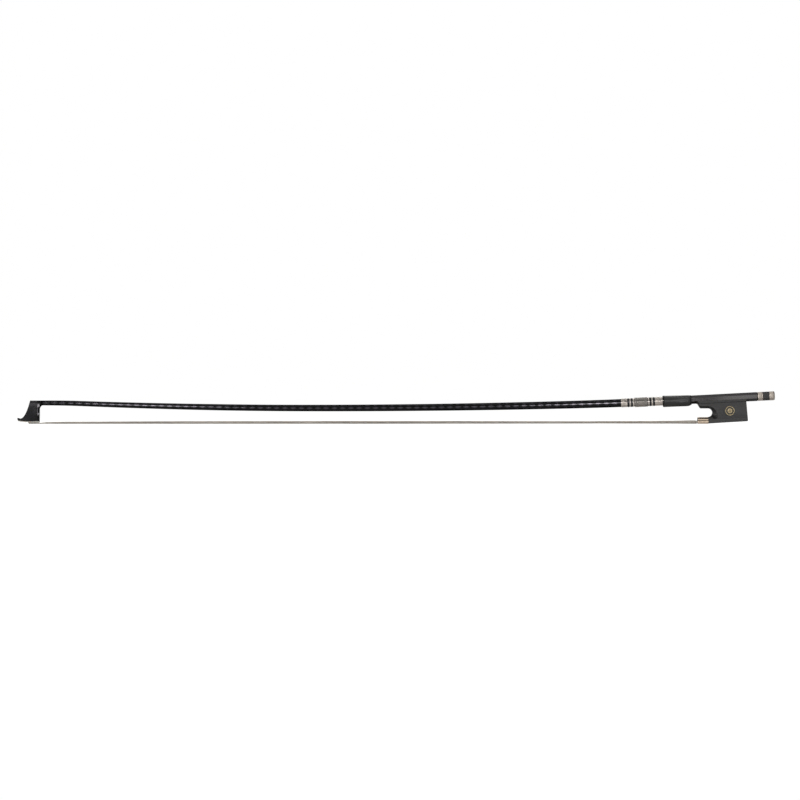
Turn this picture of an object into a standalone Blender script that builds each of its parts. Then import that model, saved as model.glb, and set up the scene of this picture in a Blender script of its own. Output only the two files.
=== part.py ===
# Violin bow: carbon fibre stick, ebony frog with its mounts, hair, winding and screw.
# Metres, +Z up, +X from the head to the button. The hair faces down and the origin lies
# midway along the bow, on the plane that the ferrule and the hair at the head rest on.

from math import cos, hypot, pi, radians, sin, tan

import bmesh
import bpy
from mathutils import Matrix, Vector

# Overall
OVERALL_LENGTH = 0.745
HANDLE_TILT = radians(2.8)
RING_POINTS = 24

# Clearances
GLUED = 0.00004
SEATED = 0.0001
SLIDING = 0.00009
RUNNING = 0.00015

# Camber of the stick, as distances from the beak, heights and slopes of its centre line
HEAD_HEIGHT = 0.0229
NECK_FROM_BEAK = 0.060
NECK_DROP = 0.0005
NECK_SLOPE = -0.037
LOW_FROM_BEAK = 0.290
LOW_HEIGHT = 0.0155
RISE_FROM_BEAK = 0.515
RISE_HEIGHT = 0.0181
RISE_SLOPE = 0.0235
STRAIGHT_HANDLE = 0.108
FROG_AXIS_HEIGHT = 0.02396

# Thickness of the stick
TIP_DIAMETER = 0.0048
QUARTER_DIAMETER = 0.0062
QUARTER_FROM_BEAK = 0.200
MIDDLE_DIAMETER = 0.0068
MIDDLE_FROM_BEAK = 0.400
GRIP_DIAMETER = 0.0081
BUTT_DIAMETER = 0.00877
ROUND_TO_OCTAGON = 0.008

# Head
HEAD_LENGTH = 0.022
BEAK_TOP = 0.0059
LIP_HEIGHT = 0.0052
LIP_FROM_BEAK = 0.00305
BROW_FROM_BEAK = 0.0126
HEAD_WIDTH = 0.0104
BEAK_WIDTH = 0.0015
FULL_WIDTH_FROM_BEAK = 0.016
RIDGE_WIDTH = 0.0023
RIDGE_BEVEL = 0.0017
BACK_BEVEL = 0.0019
BACK_BEVEL_DEPTH = 0.0009
FACE_EDGE = 0.0001
THROAT_LENGTH = 0.0039
THROAT_DROP = 0.0037
BEAK_RISE = 0.00115
BEAK_CURVE = 0.011

# Tip plate, its liner and the hair in the head
HAIR_FOLD_THICKNESS = 0.00145
HAIR_FOLD_TAPER = 0.001
HAIR_EXIT = 0.0004
TIP_PLATE_THICKNESS = 0.0007
TIP_LINER_THICKNESS = 0.00055
TIP_PLATE_SETBACK = 0.0004
TIP_MORTISE_FROM_BEAK = 0.0107
TIP_MORTISE_LENGTH = 0.0069
TIP_MORTISE_WIDTH = 0.0058
TIP_MORTISE_DEPTH = 0.0070
TIP_KNOT_DIAMETER = 0.0021
KNOT_END_GAP = 0.0004
PLUG_TAPER = 0.0003
HAIR_LEG = 0.00105

# Hair ribbon
HAIR_WIDTH_AT_HEAD = 0.0076
HAIR_WIDTH_AT_FROG = 0.0104
HAIR_THICKNESS = 0.0009
HAIR_SIZE = 0.00016
HAIR_ROWS = 4
HAIRS_PER_ROW = 38
HAIR_BINDING = 0.0006

# Winding and thumb leather, from the button end of the stick towards the head
LEATHER_FROM_BUTT = 0.0648
LEATHER_LENGTH = 0.0281
LEATHER_THICKNESS = 0.0012
LEATHER_TOP_EDGE = 0.0002
LEATHER_THUMB_THICKNESS = 0.0015
LEATHER_BEVEL = 0.004
LEATHER_ROUNDING = 0.0005
OCTAGON_FROM_LEATHER = 0.0112
WINDING_THICKNESS = 0.00040
BAND_WIDTH = 0.0017
HEAD_ZONE_WIDTH = 0.0065
MIXED_ZONE_WIDTH = 0.0132
FROG_ZONE_WIDTH = 0.0079
WINDING_STEP = 0.0035
MIXED_TURNS = 12
POINTS_PER_TURN = 24
WIRE_DIAMETER = 0.00028
THREAD_THICKNESS = 0.00012

# Frog
FROG_FROM_BUTT = 0.0111
FROG_LENGTH = 0.0494
FROG_TOP_WIDTH = 0.0103
FROG_WAIST_WIDTH = 0.0096
FROG_BASE_WIDTH = 0.0132
FROG_BASE_LIFT = 0.0003
FROG_RAIL_HEIGHT = 0.0022
FROG_RAIL_STEP = 0.0003
FROG_FLARE_DEPTH = 0.0210
FROG_BEVEL = 0.0007
NOSE_OVERHANG = 0.0015
NOSE_SLANT = 0.0040
HEEL_SLANT = 0.0018
HEEL_RISE = 0.0026
THROAT_ROOF = 0.0151
THROAT_STEPS = 14
NOSE_CORNER = 0.0010
HEEL_CORNER = 0.0012
TRIM_HEIGHT = 0.002

# Ferrule
FERRULE_LENGTH = 0.0104
FERRULE_HEIGHT = 0.0067
FERRULE_WALL = 0.0005
FERRULE_CORNER = 0.0009
FERRULE_SIDE = 0.0022
TONGUE_ROOT = 0.0012
HAIR_BEND_FROM_MOUTH = 0.0016
WEDGE_LENGTH = 0.0067
WEDGE_TOP = 0.0029

# Slide, hair mortise, plug and knot in the frog
PEARL_THICKNESS = 0.0008
BACKING_THICKNESS = 0.0008
SLIDE_LENGTH = 0.0345
SLIDE_WIDTH = 0.0086
SLIDE_FLARE = 0.0005
FROG_MORTISE_FROM_FERRULE = 0.0154
FROG_MORTISE_LENGTH = 0.0081
FROG_MORTISE_WIDTH = 0.0082
FROG_MORTISE_TOP = 0.0103
HAIR_WAY_DROP = 0.001
FROG_KNOT_DIAMETER = 0.0017

# Eyes
EYE_FROM_FERRULE = 0.0316
EYE_HEIGHT = 0.0128
EYE_RING_DIAMETER = 0.0092
EYE_RING_WIDTH = 0.0006
EYE_DOT_DIAMETER = 0.0054
EYE_DEPTH = 0.0009
EYE_PROUD = 0.00015
EYE_STEPS = 32

# Underslide, eyelet and screw
UNDERSLIDE_THICKNESS = 0.00025
UNDERSLIDE_SETBACK = 0.0004
EYELET_FROM_FERRULE = 0.0247
EYELET_LENGTH = 0.0046
EYELET_WIDTH = 0.0039
EYELET_WALL = 0.0005
EYELET_SHANK_DIAMETER = 0.0029
EYELET_SHANK_DEPTH = 0.0105
SCREW_DIAMETER = 0.0029
SCREW_TIP_DIAMETER = 0.0022
SCREW_TIP_LENGTH = 0.008
SCREW_SHOULDER = 0.0004
SCREW_REACH = 0.052
FROG_TRAVEL_BACK = 0.0007
FROG_TRAVEL_FORWARD = 0.0042

# Button
BUTTON_DIAMETER = 0.0088
COLLAR_LENGTH = 0.0054
CORE_LENGTH = 0.0062
CAP_LENGTH = 0.0054
CORE_DIAMETER = 0.0086
BUTTON_CHAMFER = 0.0006
BUTTON_EDGE = 0.0001
CORE_EDGE = 0.0002
COLLAR_BEAD = 0.0006
COLLAR_GROOVE = 0.00018
CAP_ROUNDING = 0.0011
NIPPLE_DIAMETER = 0.0054
NIPPLE_LENGTH = 0.0016

BEAK_X = -OVERALL_LENGTH / 2
BUTTON_LENGTH = SEATED + COLLAR_LENGTH + CORE_LENGTH + CAP_LENGTH + 2 * SEATED
CAP_END_RADIUS = BUTTON_DIAMETER / 2 - CAP_ROUNDING
BUTT_X = OVERALL_LENGTH / 2 - BUTTON_LENGTH * cos(HANDLE_TILT) - CAP_END_RADIUS * sin(HANDLE_TILT)
FERRULE_X = BUTT_X - FROG_FROM_BUTT + HEEL_SLANT - FROG_LENGTH
SHOULDER_X = FERRULE_X + FERRULE_LENGTH + SEATED
HEEL_X = FERRULE_X + FROG_LENGTH
LEATHER_END_X = BUTT_X - LEATHER_FROM_BUTT
LEATHER_START_X = LEATHER_END_X - LEATHER_LENGTH
WINDING_LENGTH = HEAD_ZONE_WIDTH + MIXED_ZONE_WIDTH + FROG_ZONE_WIDTH + 8 * BAND_WIDTH
WINDING_X = LEATHER_START_X - WINDING_LENGTH
OCTAGON_X = LEATHER_START_X + OCTAGON_FROM_LEATHER
STRAIGHT_X = BUTT_X - STRAIGHT_HANDLE

PLATE_BOTTOM = HAIR_FOLD_THICKNESS + SEATED
LINER_BOTTOM = PLATE_BOTTOM + TIP_PLATE_THICKNESS + GLUED
HEAD_BOTTOM = LINER_BOTTOM + TIP_LINER_THICKNESS + GLUED
HAIR_EXIT_X = BEAK_X + HEAD_LENGTH + HAIR_EXIT

LINED_GAP = SLIDING + UNDERSLIDE_THICKNESS + GLUED


def empty_scene():
    for item in list(bpy.data.objects):
        bpy.data.objects.remove(item)


def new_collection(name):
    collection = bpy.data.collections.new(name)
    bpy.context.scene.collection.children.link(collection)
    return collection


def material(name, colour, roughness, metallic=0.0):
    """A Principled material, shared by the pieces made of it."""
    made = bpy.data.materials.get(name)
    if made:
        return made
    made = bpy.data.materials.new(name)
    made.use_nodes = True
    made.diffuse_color = (*colour, 1.0)
    shader = made.node_tree.nodes["Principled BSDF"]
    shader.inputs["Base Color"].default_value = (*colour, 1.0)
    shader.inputs["Roughness"].default_value = roughness
    shader.inputs["Metallic"].default_value = metallic
    return made


def carbon():
    return material("carbon_fibre", (0.016, 0.016, 0.018), 0.22)


def ebony():
    return material("ebony", (0.020, 0.018, 0.017), 0.35)


def nickel_silver():
    return material("nickel_silver", (0.62, 0.54, 0.46), 0.22, 1.0)


def silver_wire():
    return material("silver_wire", (0.66, 0.62, 0.57), 0.28, 1.0)


def black_thread():
    return material("black_thread", (0.018, 0.018, 0.020), 0.6)


def black_leather():
    return material("black_leather", (0.022, 0.020, 0.020), 0.6)


def pearl():
    return material("pearl", (0.80, 0.76, 0.68), 0.2)


def horsehair():
    return material("horsehair", (0.52, 0.47, 0.41), 0.5)


def bound_hair():
    return material("bound_hair", (0.34, 0.29, 0.24), 0.6)


def bone():
    return material("bone", (0.78, 0.74, 0.66), 0.4)


def maple():
    return material("maple", (0.60, 0.44, 0.27), 0.6)


def brass():
    return material("brass", (0.70, 0.52, 0.24), 0.3, 1.0)


def steel():
    return material("steel", (0.50, 0.50, 0.52), 0.3, 1.0)


def place(name, data, surface, collection, parent=None):
    """Adds an object whose data is already in its own place, and keeps that under a parent."""
    made = bpy.data.objects.new(name, data)
    collection.objects.link(made)
    if surface:
        data.materials.append(surface)
    if parent:
        made.parent = parent
        bpy.context.view_layer.update()
        made.matrix_parent_inverse = parent.matrix_world.inverted()
    return made


def smooth(made, angle=radians(32)):
    made.data.shade_smooth()
    made.data.set_sharp_from_angle(angle=angle)


def mesh_of(name, build, solid=True):
    """A mesh made by a function that fills a bmesh. A solid's faces are turned to point out."""
    work = bmesh.new()
    build(work)
    if solid:
        bmesh.ops.recalc_face_normals(work, faces=work.faces)
    data = bpy.data.meshes.new(name)
    work.to_mesh(data)
    work.free()
    return data


def loft_mesh(name, rings, closed=False):
    """A skin through rings of points: with two end caps, or closed on itself as a sleeve."""

    def build(work):
        loops = [[work.verts.new(point) for point in ring] for ring in rings]
        pairs = list(zip(loops, loops[1:]))
        if closed:
            pairs.append((loops[-1], loops[0]))
        else:
            work.faces.new(list(reversed(loops[0])))
            work.faces.new(loops[-1])
        for first, second in pairs:
            count = len(first)
            for index in range(count):
                after = (index + 1) % count
                work.faces.new((first[index], first[after], second[after], second[index]))

    return mesh_of(name, build)


def box_mesh(name, low, high):
    def build(work):
        bmesh.ops.create_cube(work, size=1.0)
        for vert in work.verts:
            vert.co = Vector(
                (a + (b - a) * (c + 0.5)) for a, b, c in zip(low, high, vert.co)
            )

    return mesh_of(name, build)


def rod_mesh(name, radius, low, high, segments=16):
    """A cylinder along its own Z from low to high."""

    def build(work):
        bmesh.ops.create_cone(
            work,
            cap_ends=True,
            segments=segments,
            radius1=radius,
            radius2=radius,
            depth=high - low,
        )
        bmesh.ops.translate(work, vec=(0, 0, (low + high) / 2), verts=work.verts)

    return mesh_of(name, build)


def outline_mesh(name, outlines, thickness):
    """A flat outline with any holes, as a filled 2D curve extruded along its own Z, made a mesh."""
    curve = bpy.data.curves.new(name, "CURVE")
    curve.dimensions = "2D"
    curve.fill_mode = "BOTH"
    curve.extrude = thickness / 2
    for outline in outlines:
        spline = curve.splines.new("POLY")
        spline.points.add(len(outline) - 1)
        for point, (u, v) in zip(spline.points, outline):
            point.co = (u, v, 0.0, 1.0)
        spline.use_cyclic_u = True
    return meshed(curve, dissolve=True)


def meshed(curve, dissolve=False):
    """The mesh of a curve, with its loose caps welded on and the curve itself removed."""
    holder = bpy.data.objects.new(curve.name, curve)
    bpy.context.scene.collection.objects.link(holder)
    graph = bpy.context.evaluated_depsgraph_get()
    data = bpy.data.meshes.new_from_object(holder.evaluated_get(graph))
    bpy.data.objects.remove(holder)
    work = bmesh.new()
    work.from_mesh(data)
    bmesh.ops.remove_doubles(work, verts=work.verts, dist=1e-7)
    if dissolve:
        bmesh.ops.dissolve_limit(
            work, angle_limit=radians(0.5), verts=work.verts, edges=work.edges
        )
    bmesh.ops.recalc_face_normals(work, faces=work.faces)
    work.to_mesh(data)
    work.free()
    return data


def side_profile(name, outline, thickness):
    """An outline in world X and Z, as thick as given across Y."""
    data = outline_mesh(name, [outline], thickness)
    data.transform(Matrix.Rotation(radians(90), 4, "X"))
    return data


def turned(name, profile, steps, surface, collection, parent):
    """A profile of (radius, height) points turned about the parent's Z. A closed one is a ring."""
    data = bpy.data.meshes.new(name)
    closed = profile[0][0] > 0
    count = len(profile)
    edges = [(index, index + 1) for index in range(count - 1)]
    if closed:
        edges.append((count - 1, 0))
    data.from_pydata([(radius, 0.0, height) for radius, height in profile], edges, [])
    made = bpy.data.objects.new(name, data)
    collection.objects.link(made)
    if surface:
        data.materials.append(surface)
    made.parent = parent
    made.rotation_euler = (0, 0, pi / steps)
    screw = made.modifiers.new("turn", "SCREW")
    screw.axis = "Z"
    screw.angle = 2 * pi
    screw.steps = steps
    screw.render_steps = steps
    screw.use_merge_vertices = True
    screw.merge_threshold = 0.000001
    screw.use_smooth_shade = False
    return made


def cutter(name, data, guides, parent=None):
    made = place(name, data, None, guides, parent)
    made.hide_render = True
    made.display_type = "WIRE"
    return made


def join(made, other, operation):
    step = made.modifiers.new(f"{operation.lower()}_{other.name}", "BOOLEAN")
    step.operation = operation
    step.solver = "EXACT"
    step.object = other


def axis_empty(name, location, collection, parent=None):
    """An empty whose Z runs along the handle towards the button, and whose X faces the hair."""
    made = bpy.data.objects.new(name, None)
    collection.objects.link(made)
    made.empty_display_size = 0.01
    made.location = location
    made.rotation_euler = (0, radians(90) - HANDLE_TILT, 0)
    bpy.context.view_layer.update()
    if parent:
        made.parent = parent
        made.matrix_parent_inverse = parent.matrix_world.inverted()
        bpy.context.view_layer.update()
    return made


def handle_height(x):
    """Height of the handle's axis."""
    return FROG_AXIS_HEIGHT + (x - FERRULE_X) * tan(HANDLE_TILT)


def hermite(x, start, end):
    """Height and slope at x between two stations of (x, height, slope)."""
    length = end[0] - start[0]
    t = (x - start[0]) / length
    height = (
        (2 * t**3 - 3 * t**2 + 1) * start[1]
        + (t**3 - 2 * t**2 + t) * length * start[2]
        + (3 * t**2 - 2 * t**3) * end[1]
        + (t**3 - t**2) * length * end[2]
    )
    slope = (
        (6 * t**2 - 6 * t) * (start[1] - end[1]) / length
        + (3 * t**2 - 4 * t + 1) * start[2]
        + (3 * t**2 - 2 * t) * end[2]
    )
    return height, slope


def centre_line(x):
    """Height and slope of the stick's centre line."""
    tip = HEAD_HEIGHT - TIP_DIAMETER / 2
    stations = [
        (BEAK_X + HEAD_LENGTH, tip, 0.0),
        (BEAK_X + NECK_FROM_BEAK, tip - NECK_DROP, NECK_SLOPE),
        (BEAK_X + LOW_FROM_BEAK, LOW_HEIGHT, 0.0),
        (BEAK_X + RISE_FROM_BEAK, RISE_HEIGHT, RISE_SLOPE),
        (STRAIGHT_X, handle_height(STRAIGHT_X), tan(HANDLE_TILT)),
    ]
    if x <= stations[0][0]:
        return tip, 0.0
    if x >= STRAIGHT_X:
        return handle_height(x), tan(HANDLE_TILT)
    for start, end in zip(stations, stations[1:]):
        if x <= end[0]:
            return hermite(x, start, end)
    return handle_height(x), tan(HANDLE_TILT)


def half_thickness(x):
    """Half the stick's thickness across flats at x."""
    stations = [
        (BEAK_X + HEAD_LENGTH, TIP_DIAMETER),
        (BEAK_X + QUARTER_FROM_BEAK, QUARTER_DIAMETER),
        (BEAK_X + MIDDLE_FROM_BEAK, MIDDLE_DIAMETER),
        (LEATHER_START_X, GRIP_DIAMETER),
        (BUTT_X, BUTT_DIAMETER),
    ]
    if x <= stations[0][0]:
        return TIP_DIAMETER / 2
    for (x0, d0), (x1, d1) in zip(stations, stations[1:]):
        if x <= x1:
            return (d0 + (d1 - d0) * (x - x0) / (x1 - x0)) / 2
    return BUTT_DIAMETER / 2


def ring_angles():
    """Angles of a ring's points. They hold an octagon's corners, two points to each flat."""
    step = 2 * pi / RING_POINTS
    return [(index + 0.5) * step for index in range(RING_POINTS)]


def octagon_stretch(angle):
    """How much farther an octagon's outline is than its flats, at an angle from a flat."""
    return 1 / cos((angle + pi / 8) % (pi / 4) - pi / 8)


def round_stretch():
    """The same for the ring's own points, so that its flats lie at the stick's thickness."""
    return 1 / cos(pi / RING_POINTS)


def on_stick(x, angle, grow):
    """A point grow outside the stick's surface. Angle 90 degrees is the top."""
    height, slope = centre_line(x)
    octagon = min(max((x - OCTAGON_X) / ROUND_TO_OCTAGON, 0.0), 1.0)
    stretch = (1 - octagon) * round_stretch() + octagon * octagon_stretch(angle)
    reach = (half_thickness(x) + grow) * stretch
    tilt = 1 / hypot(1.0, slope)
    up = Vector((-slope * tilt, 0.0, tilt))
    return Vector((x, 0.0, height)) + reach * (cos(angle) * Vector((0, 1, 0)) + sin(angle) * up)


def stick_ring(x, grow=0.0):
    return [on_stick(x, angle, grow) for angle in ring_angles()]


def face_half_width(distance):
    """Half the width of the head's face, at a distance from the beak."""
    share = min(max(distance / FULL_WIDTH_FROM_BEAK, 0.0), 1.0)
    narrow = BEAK_WIDTH / 2
    return narrow + (HEAD_WIDTH / 2 - narrow) * sin(share * pi / 2) ** 1.1


def back_narrowing(distance):
    """How far each side of the head draws in towards its back edge."""
    share = (distance - HEAD_LENGTH + BACK_BEVEL) / BACK_BEVEL
    return BACK_BEVEL_DEPTH * min(max(share, 0.0), 1.0)


def beak_rise(distance):
    """How far the face of the head curves up towards the beak."""
    return BEAK_RISE * max(0.0, 1 - distance / BEAK_CURVE) ** 2


def front_height(distance):
    """Height of the head's front outline: the beak's lip and the hollow above it."""
    if distance <= LIP_FROM_BEAK:
        share = distance / LIP_FROM_BEAK
        return BEAK_TOP + (LIP_HEIGHT - BEAK_TOP) * share * share * (3 - 2 * share)
    share = min((distance - LIP_FROM_BEAK) / (BROW_FROM_BEAK - LIP_FROM_BEAK), 1.0)
    return LIP_HEIGHT + (HEAD_HEIGHT - LIP_HEIGHT) * share * share


def head_half_ring(distance, top, bottom):
    """Half a section of the head as (width, height), from the top ridge down to the face."""
    face = face_half_width(distance)
    narrowing = back_narrowing(distance)
    crown = min(TIP_DIAMETER / 2, face * 0.85)
    ridge = min(RIDGE_WIDTH / 2, face * 0.6)
    bevel = min(RIDGE_BEVEL, (top - bottom) * 0.4)

    def cheek(height):
        share = (height - HEAD_BOTTOM) / (HEAD_HEIGHT - HEAD_BOTTOM)
        drawn_in = 1 - (1 - min(max(share, 0.0), 1.0)) ** 1.7
        return face + (crown - face) * drawn_in - narrowing * (1 - drawn_in)

    shoulder = cheek(top - bevel)
    half = [
        (0.4 * ridge, top),
        (ridge, top - 0.05 * bevel),
        (ridge + (shoulder - ridge) * 0.7, top - 0.45 * bevel),
    ]
    steps = 7
    lowest = bottom + (top - bottom) * 0.04
    for index in range(steps):
        height = top - bevel + (lowest - top + bevel) * index / (steps - 1)
        half.append((cheek(height), height))
    half.append((cheek(bottom) - FACE_EDGE, bottom))
    half.append((0.4 * face, bottom))
    return half


def head_ring(distance, top):
    """A whole section of the head, in the order of a ring of the stick."""
    x = BEAK_X + distance
    half = head_half_ring(distance, top, HEAD_BOTTOM + beak_rise(distance))
    first = [Vector((x, width, height)) for width, height in half]
    second = [Vector((x, -width, height)) for width, height in reversed(half)]
    around = list(reversed(first)) + list(reversed(second))
    quarter = RING_POINTS // 4
    return around[quarter:] + around[:quarter]


def throat_ring(distance, bottom):
    """A section of the stick just behind the head, drawn down to the throat's outline."""
    x = BEAK_X + distance
    height = HEAD_HEIGHT - TIP_DIAMETER / 2
    reach = TIP_DIAMETER / 2 * round_stretch()
    ring = []
    for angle in ring_angles():
        side = reach * cos(angle)
        rise = reach * sin(angle)
        if rise < 0:
            rise *= (height - bottom) / reach
        ring.append(Vector((x, side, height + rise)))
    return ring


def head_rings():
    """Sections from the beak to the stick behind the head."""
    rings = []
    lip_steps = 3
    distances = [LIP_FROM_BEAK * index / lip_steps for index in range(lip_steps + 1)]
    hollow_steps = 8
    hollow = BROW_FROM_BEAK - LIP_FROM_BEAK
    distances += [
        LIP_FROM_BEAK + hollow * index / hollow_steps for index in range(1, hollow_steps)
    ]
    rings += [head_ring(distance, front_height(distance)) for distance in distances]
    bevel = HEAD_LENGTH - BACK_BEVEL
    for distance in (BROW_FROM_BEAK, (BROW_FROM_BEAK + bevel) / 2, bevel, HEAD_LENGTH):
        rings.append(head_ring(distance, HEAD_HEIGHT))
    underside = HEAD_HEIGHT - TIP_DIAMETER
    for share in (0.04, 0.17, 0.42, 0.68, 0.85):
        drop = THROAT_DROP * (1 - share) ** 3.2
        rings.append(throat_ring(HEAD_LENGTH + THROAT_LENGTH * share, underside - drop))
    return rings


def stick_stations():
    """Where the stick has a ring, from behind the head to its end at the button."""
    start = BEAK_X + HEAD_LENGTH + THROAT_LENGTH
    neck = BEAK_X + NECK_FROM_BEAK
    spans = 18
    stations = [start, (start + neck) / 2]
    stations += [neck + (WINDING_X - neck) * index / spans for index in range(spans)]
    for _, band_start, width in winding_bands():
        stations += band_stations(band_start, width)[:-1]
    stations += [LEATHER_START_X, OCTAGON_X, OCTAGON_X + ROUND_TO_OCTAGON, LEATHER_END_X, BUTT_X]
    return sorted(stations)


def winding_bands():
    """The winding's bands in turn from the head's end, as (kind, start, width)."""
    widths = [
        ("silver", HEAD_ZONE_WIDTH),
        ("black", BAND_WIDTH),
        ("silver", BAND_WIDTH),
        ("black", BAND_WIDTH),
        ("silver", BAND_WIDTH),
        ("mixed", MIXED_ZONE_WIDTH),
        ("silver", BAND_WIDTH),
        ("black", BAND_WIDTH),
        ("silver", BAND_WIDTH),
        ("black", BAND_WIDTH),
        ("silver", FROG_ZONE_WIDTH),
    ]
    bands = []
    x = WINDING_X
    for kind, width in widths:
        bands.append((kind, x, width))
        x += width
    return bands


def band_stations(start, width):
    """Where the stick and a band wound on it both have a ring."""
    spans = max(round(width / WINDING_STEP), 1)
    return [start + width * index / spans for index in range(spans + 1)]


def butt_ring(radius, forward):
    """A round ring on the handle's axis, forward of its end towards the button."""
    along = Vector((cos(HANDLE_TILT), 0, sin(HANDLE_TILT)))
    up = Vector((-sin(HANDLE_TILT), 0, cos(HANDLE_TILT)))
    centre = Vector((BUTT_X, 0, handle_height(BUTT_X))) + forward * along
    return [
        centre + radius * (cos(angle) * Vector((0, 1, 0)) + sin(angle) * up)
        for angle in ring_angles()
    ]


def make_stick(parts, guides, handle):
    rings = head_rings() + [stick_ring(x) for x in stick_stations()]
    nipple = NIPPLE_DIAMETER / 2
    rings.append(butt_ring(nipple, 0.0))
    rings.append(butt_ring(nipple, NIPPLE_LENGTH))
    stick = place("stick", loft_mesh("stick", rings), carbon(), parts)
    smooth(stick)
    mortise_x = BEAK_X + TIP_MORTISE_FROM_BEAK
    mortise = box_mesh(
        "tip_mortise",
        (mortise_x, -TIP_MORTISE_WIDTH / 2, 0.0),
        (mortise_x + TIP_MORTISE_LENGTH, TIP_MORTISE_WIDTH / 2, HEAD_BOTTOM + TIP_MORTISE_DEPTH),
    )
    join(stick, cutter("tip_mortise", mortise, guides), "DIFFERENCE")
    bore_radius = SCREW_DIAMETER / 2 + RUNNING
    bore = rod_mesh("screw_bore", bore_radius, -SCREW_REACH - 2 * RUNNING, 2 * NIPPLE_LENGTH)
    bore_cutter = cutter("screw_bore", bore, guides)
    bore_cutter.parent = handle
    join(stick, bore_cutter, "DIFFERENCE")
    reach = EYELET_LENGTH / 2 + 2 * RUNNING
    slot_start = eyelet_from_butt() - reach - FROG_TRAVEL_FORWARD
    slot_end = eyelet_from_butt() + reach + FROG_TRAVEL_BACK
    slot_half = EYELET_WIDTH / 2 + RUNNING
    slot = box_mesh(
        "eyelet_slot",
        (-eyelet_head_top() - 2 * RUNNING, -slot_half, slot_start),
        (BUTT_DIAMETER, slot_half, slot_end),
    )
    slot_cutter = cutter("eyelet_slot", slot, guides)
    slot_cutter.parent = handle
    join(stick, slot_cutter, "DIFFERENCE")
    return stick


def face_strip(name, height, thickness, surface, parts, guides):
    """A thin piece that follows the head's face, with the hair's mortise through it."""
    steps = 11
    run = HEAD_LENGTH - BACK_BEVEL - TIP_PLATE_SETBACK
    distances = [TIP_PLATE_SETBACK + run * index / steps for index in range(steps + 1)]
    rows = []
    for distance in distances + [HEAD_LENGTH]:
        width = face_half_width(distance) - back_narrowing(distance) - FACE_EDGE
        rise = height + beak_rise(distance)
        x = BEAK_X + distance
        rows.append([(x, 0.0, rise), (x, width * 0.5, rise), (x, width, rise)])

    def build(work):
        lines = [[work.verts.new(point) for point in row] for row in rows]
        for first, second in zip(lines, lines[1:]):
            for index in range(len(first) - 1):
                work.faces.new((first[index], second[index], second[index + 1], first[index + 1]))

    data = mesh_of(name, build, solid=False)
    made = place(name, data, surface, parts)
    mirror = made.modifiers.new("mirror", "MIRROR")
    mirror.use_axis = (False, True, False)
    mirror.merge_threshold = 0.00001
    shell = made.modifiers.new("shell", "SOLIDIFY")
    shell.thickness = thickness
    shell.offset = 1.0
    mortise_x = BEAK_X + TIP_MORTISE_FROM_BEAK
    hole = box_mesh(
        f"{name}_hole",
        (mortise_x, -TIP_MORTISE_WIDTH / 2, height - thickness),
        (mortise_x + TIP_MORTISE_LENGTH, TIP_MORTISE_WIDTH / 2, height + 2 * thickness),
    )
    join(made, cutter(f"{name}_hole", hole, guides), "DIFFERENCE")
    return made


def widen(data, x0, width0, x1, width1):
    """Scales a mesh across Y so that it goes from one width to another between two places."""
    work = bmesh.new()
    work.from_mesh(data)
    for x in (x0, x1):
        whole = list(work.verts) + list(work.edges) + list(work.faces)
        bmesh.ops.bisect_plane(work, geom=whole, dist=1e-7, plane_co=(x, 0, 0), plane_no=(1, 0, 0))
    widest = max(vert.co.y for vert in work.verts) * 2
    for vert in work.verts:
        share = min(max((vert.co.x - x0) / (x1 - x0), 0.0), 1.0)
        vert.co.y *= (width0 + (width1 - width0) * share) / widest
    work.to_mesh(data)
    work.free()


def tip_mortise_front():
    """Where the hair lies against the mortise's front wall."""
    return BEAK_X + TIP_MORTISE_FROM_BEAK + SEATED


def tip_knot_bottom():
    return HEAD_BOTTOM + TIP_MORTISE_DEPTH - TIP_KNOT_DIAMETER - 2 * SEATED


def make_head_hair(parts):
    """The hair in the head: out of its knot, down the mortise's front wall, and folded back."""
    wall = tip_mortise_front()
    top = tip_knot_bottom() - SEATED
    width = TIP_MORTISE_WIDTH - 2 * SEATED
    radius = HAIR_FOLD_THICKNESS
    steps = 5
    outline = [(wall, top)]
    for index in range(steps + 1):
        turn = pi / 2 * index / steps
        outline.append((wall + radius - radius * cos(turn), radius - radius * sin(turn)))
    outline += [
        (HAIR_EXIT_X, 0.0),
        (HAIR_EXIT_X, HAIR_THICKNESS),
        (HAIR_EXIT_X - HAIR_FOLD_TAPER, HAIR_FOLD_THICKNESS),
        (wall + HAIR_LEG, HAIR_FOLD_THICKNESS),
        (wall + HAIR_LEG, top),
    ]
    data = side_profile("hair_in_head", outline, width)
    widen(data, wall + 2 * HAIR_LEG, width, HAIR_EXIT_X, HAIR_WIDTH_AT_HEAD)
    place("hair_in_head", data, horsehair(), parts)


def make_knot(name, width, diameter, x, z, parts, parent=None):
    """The bound end of the hair: a short rod across its mortise."""
    half = width / 2 - KNOT_END_GAP
    knot = rod_mesh(name, diameter / 2, -half, half)
    knot.transform(Matrix.Rotation(radians(90), 4, "X"))
    knot.transform(Matrix.Translation((x, 0, z)))
    place(name, knot, bound_hair(), parts, parent)


def make_head_knot(parts):
    radius = TIP_KNOT_DIAMETER / 2
    x = tip_mortise_front() + radius
    make_knot("head_knot", TIP_MORTISE_WIDTH, TIP_KNOT_DIAMETER, x, tip_knot_bottom() + radius, parts)


def make_head_plug(parts):
    """The wooden plug that wedges the hair into the head."""
    back = BEAK_X + TIP_MORTISE_FROM_BEAK + TIP_MORTISE_LENGTH - SEATED
    front = tip_mortise_front() + HAIR_LEG + SEATED
    top = tip_knot_bottom() - SEATED
    plug = [
        (front, PLATE_BOTTOM),
        (back, PLATE_BOTTOM),
        (back, top),
        (front + PLUG_TAPER, top),
    ]
    data = side_profile("head_plug", plug, TIP_MORTISE_WIDTH - 2 * SEATED)
    place("head_plug", data, maple(), parts)


def across_ribbon(width, column):
    """How far from the middle a hair of a row lies."""
    return (width - HAIR_SIZE) * (column / (HAIRS_PER_ROW - 1) - 0.5)


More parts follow.
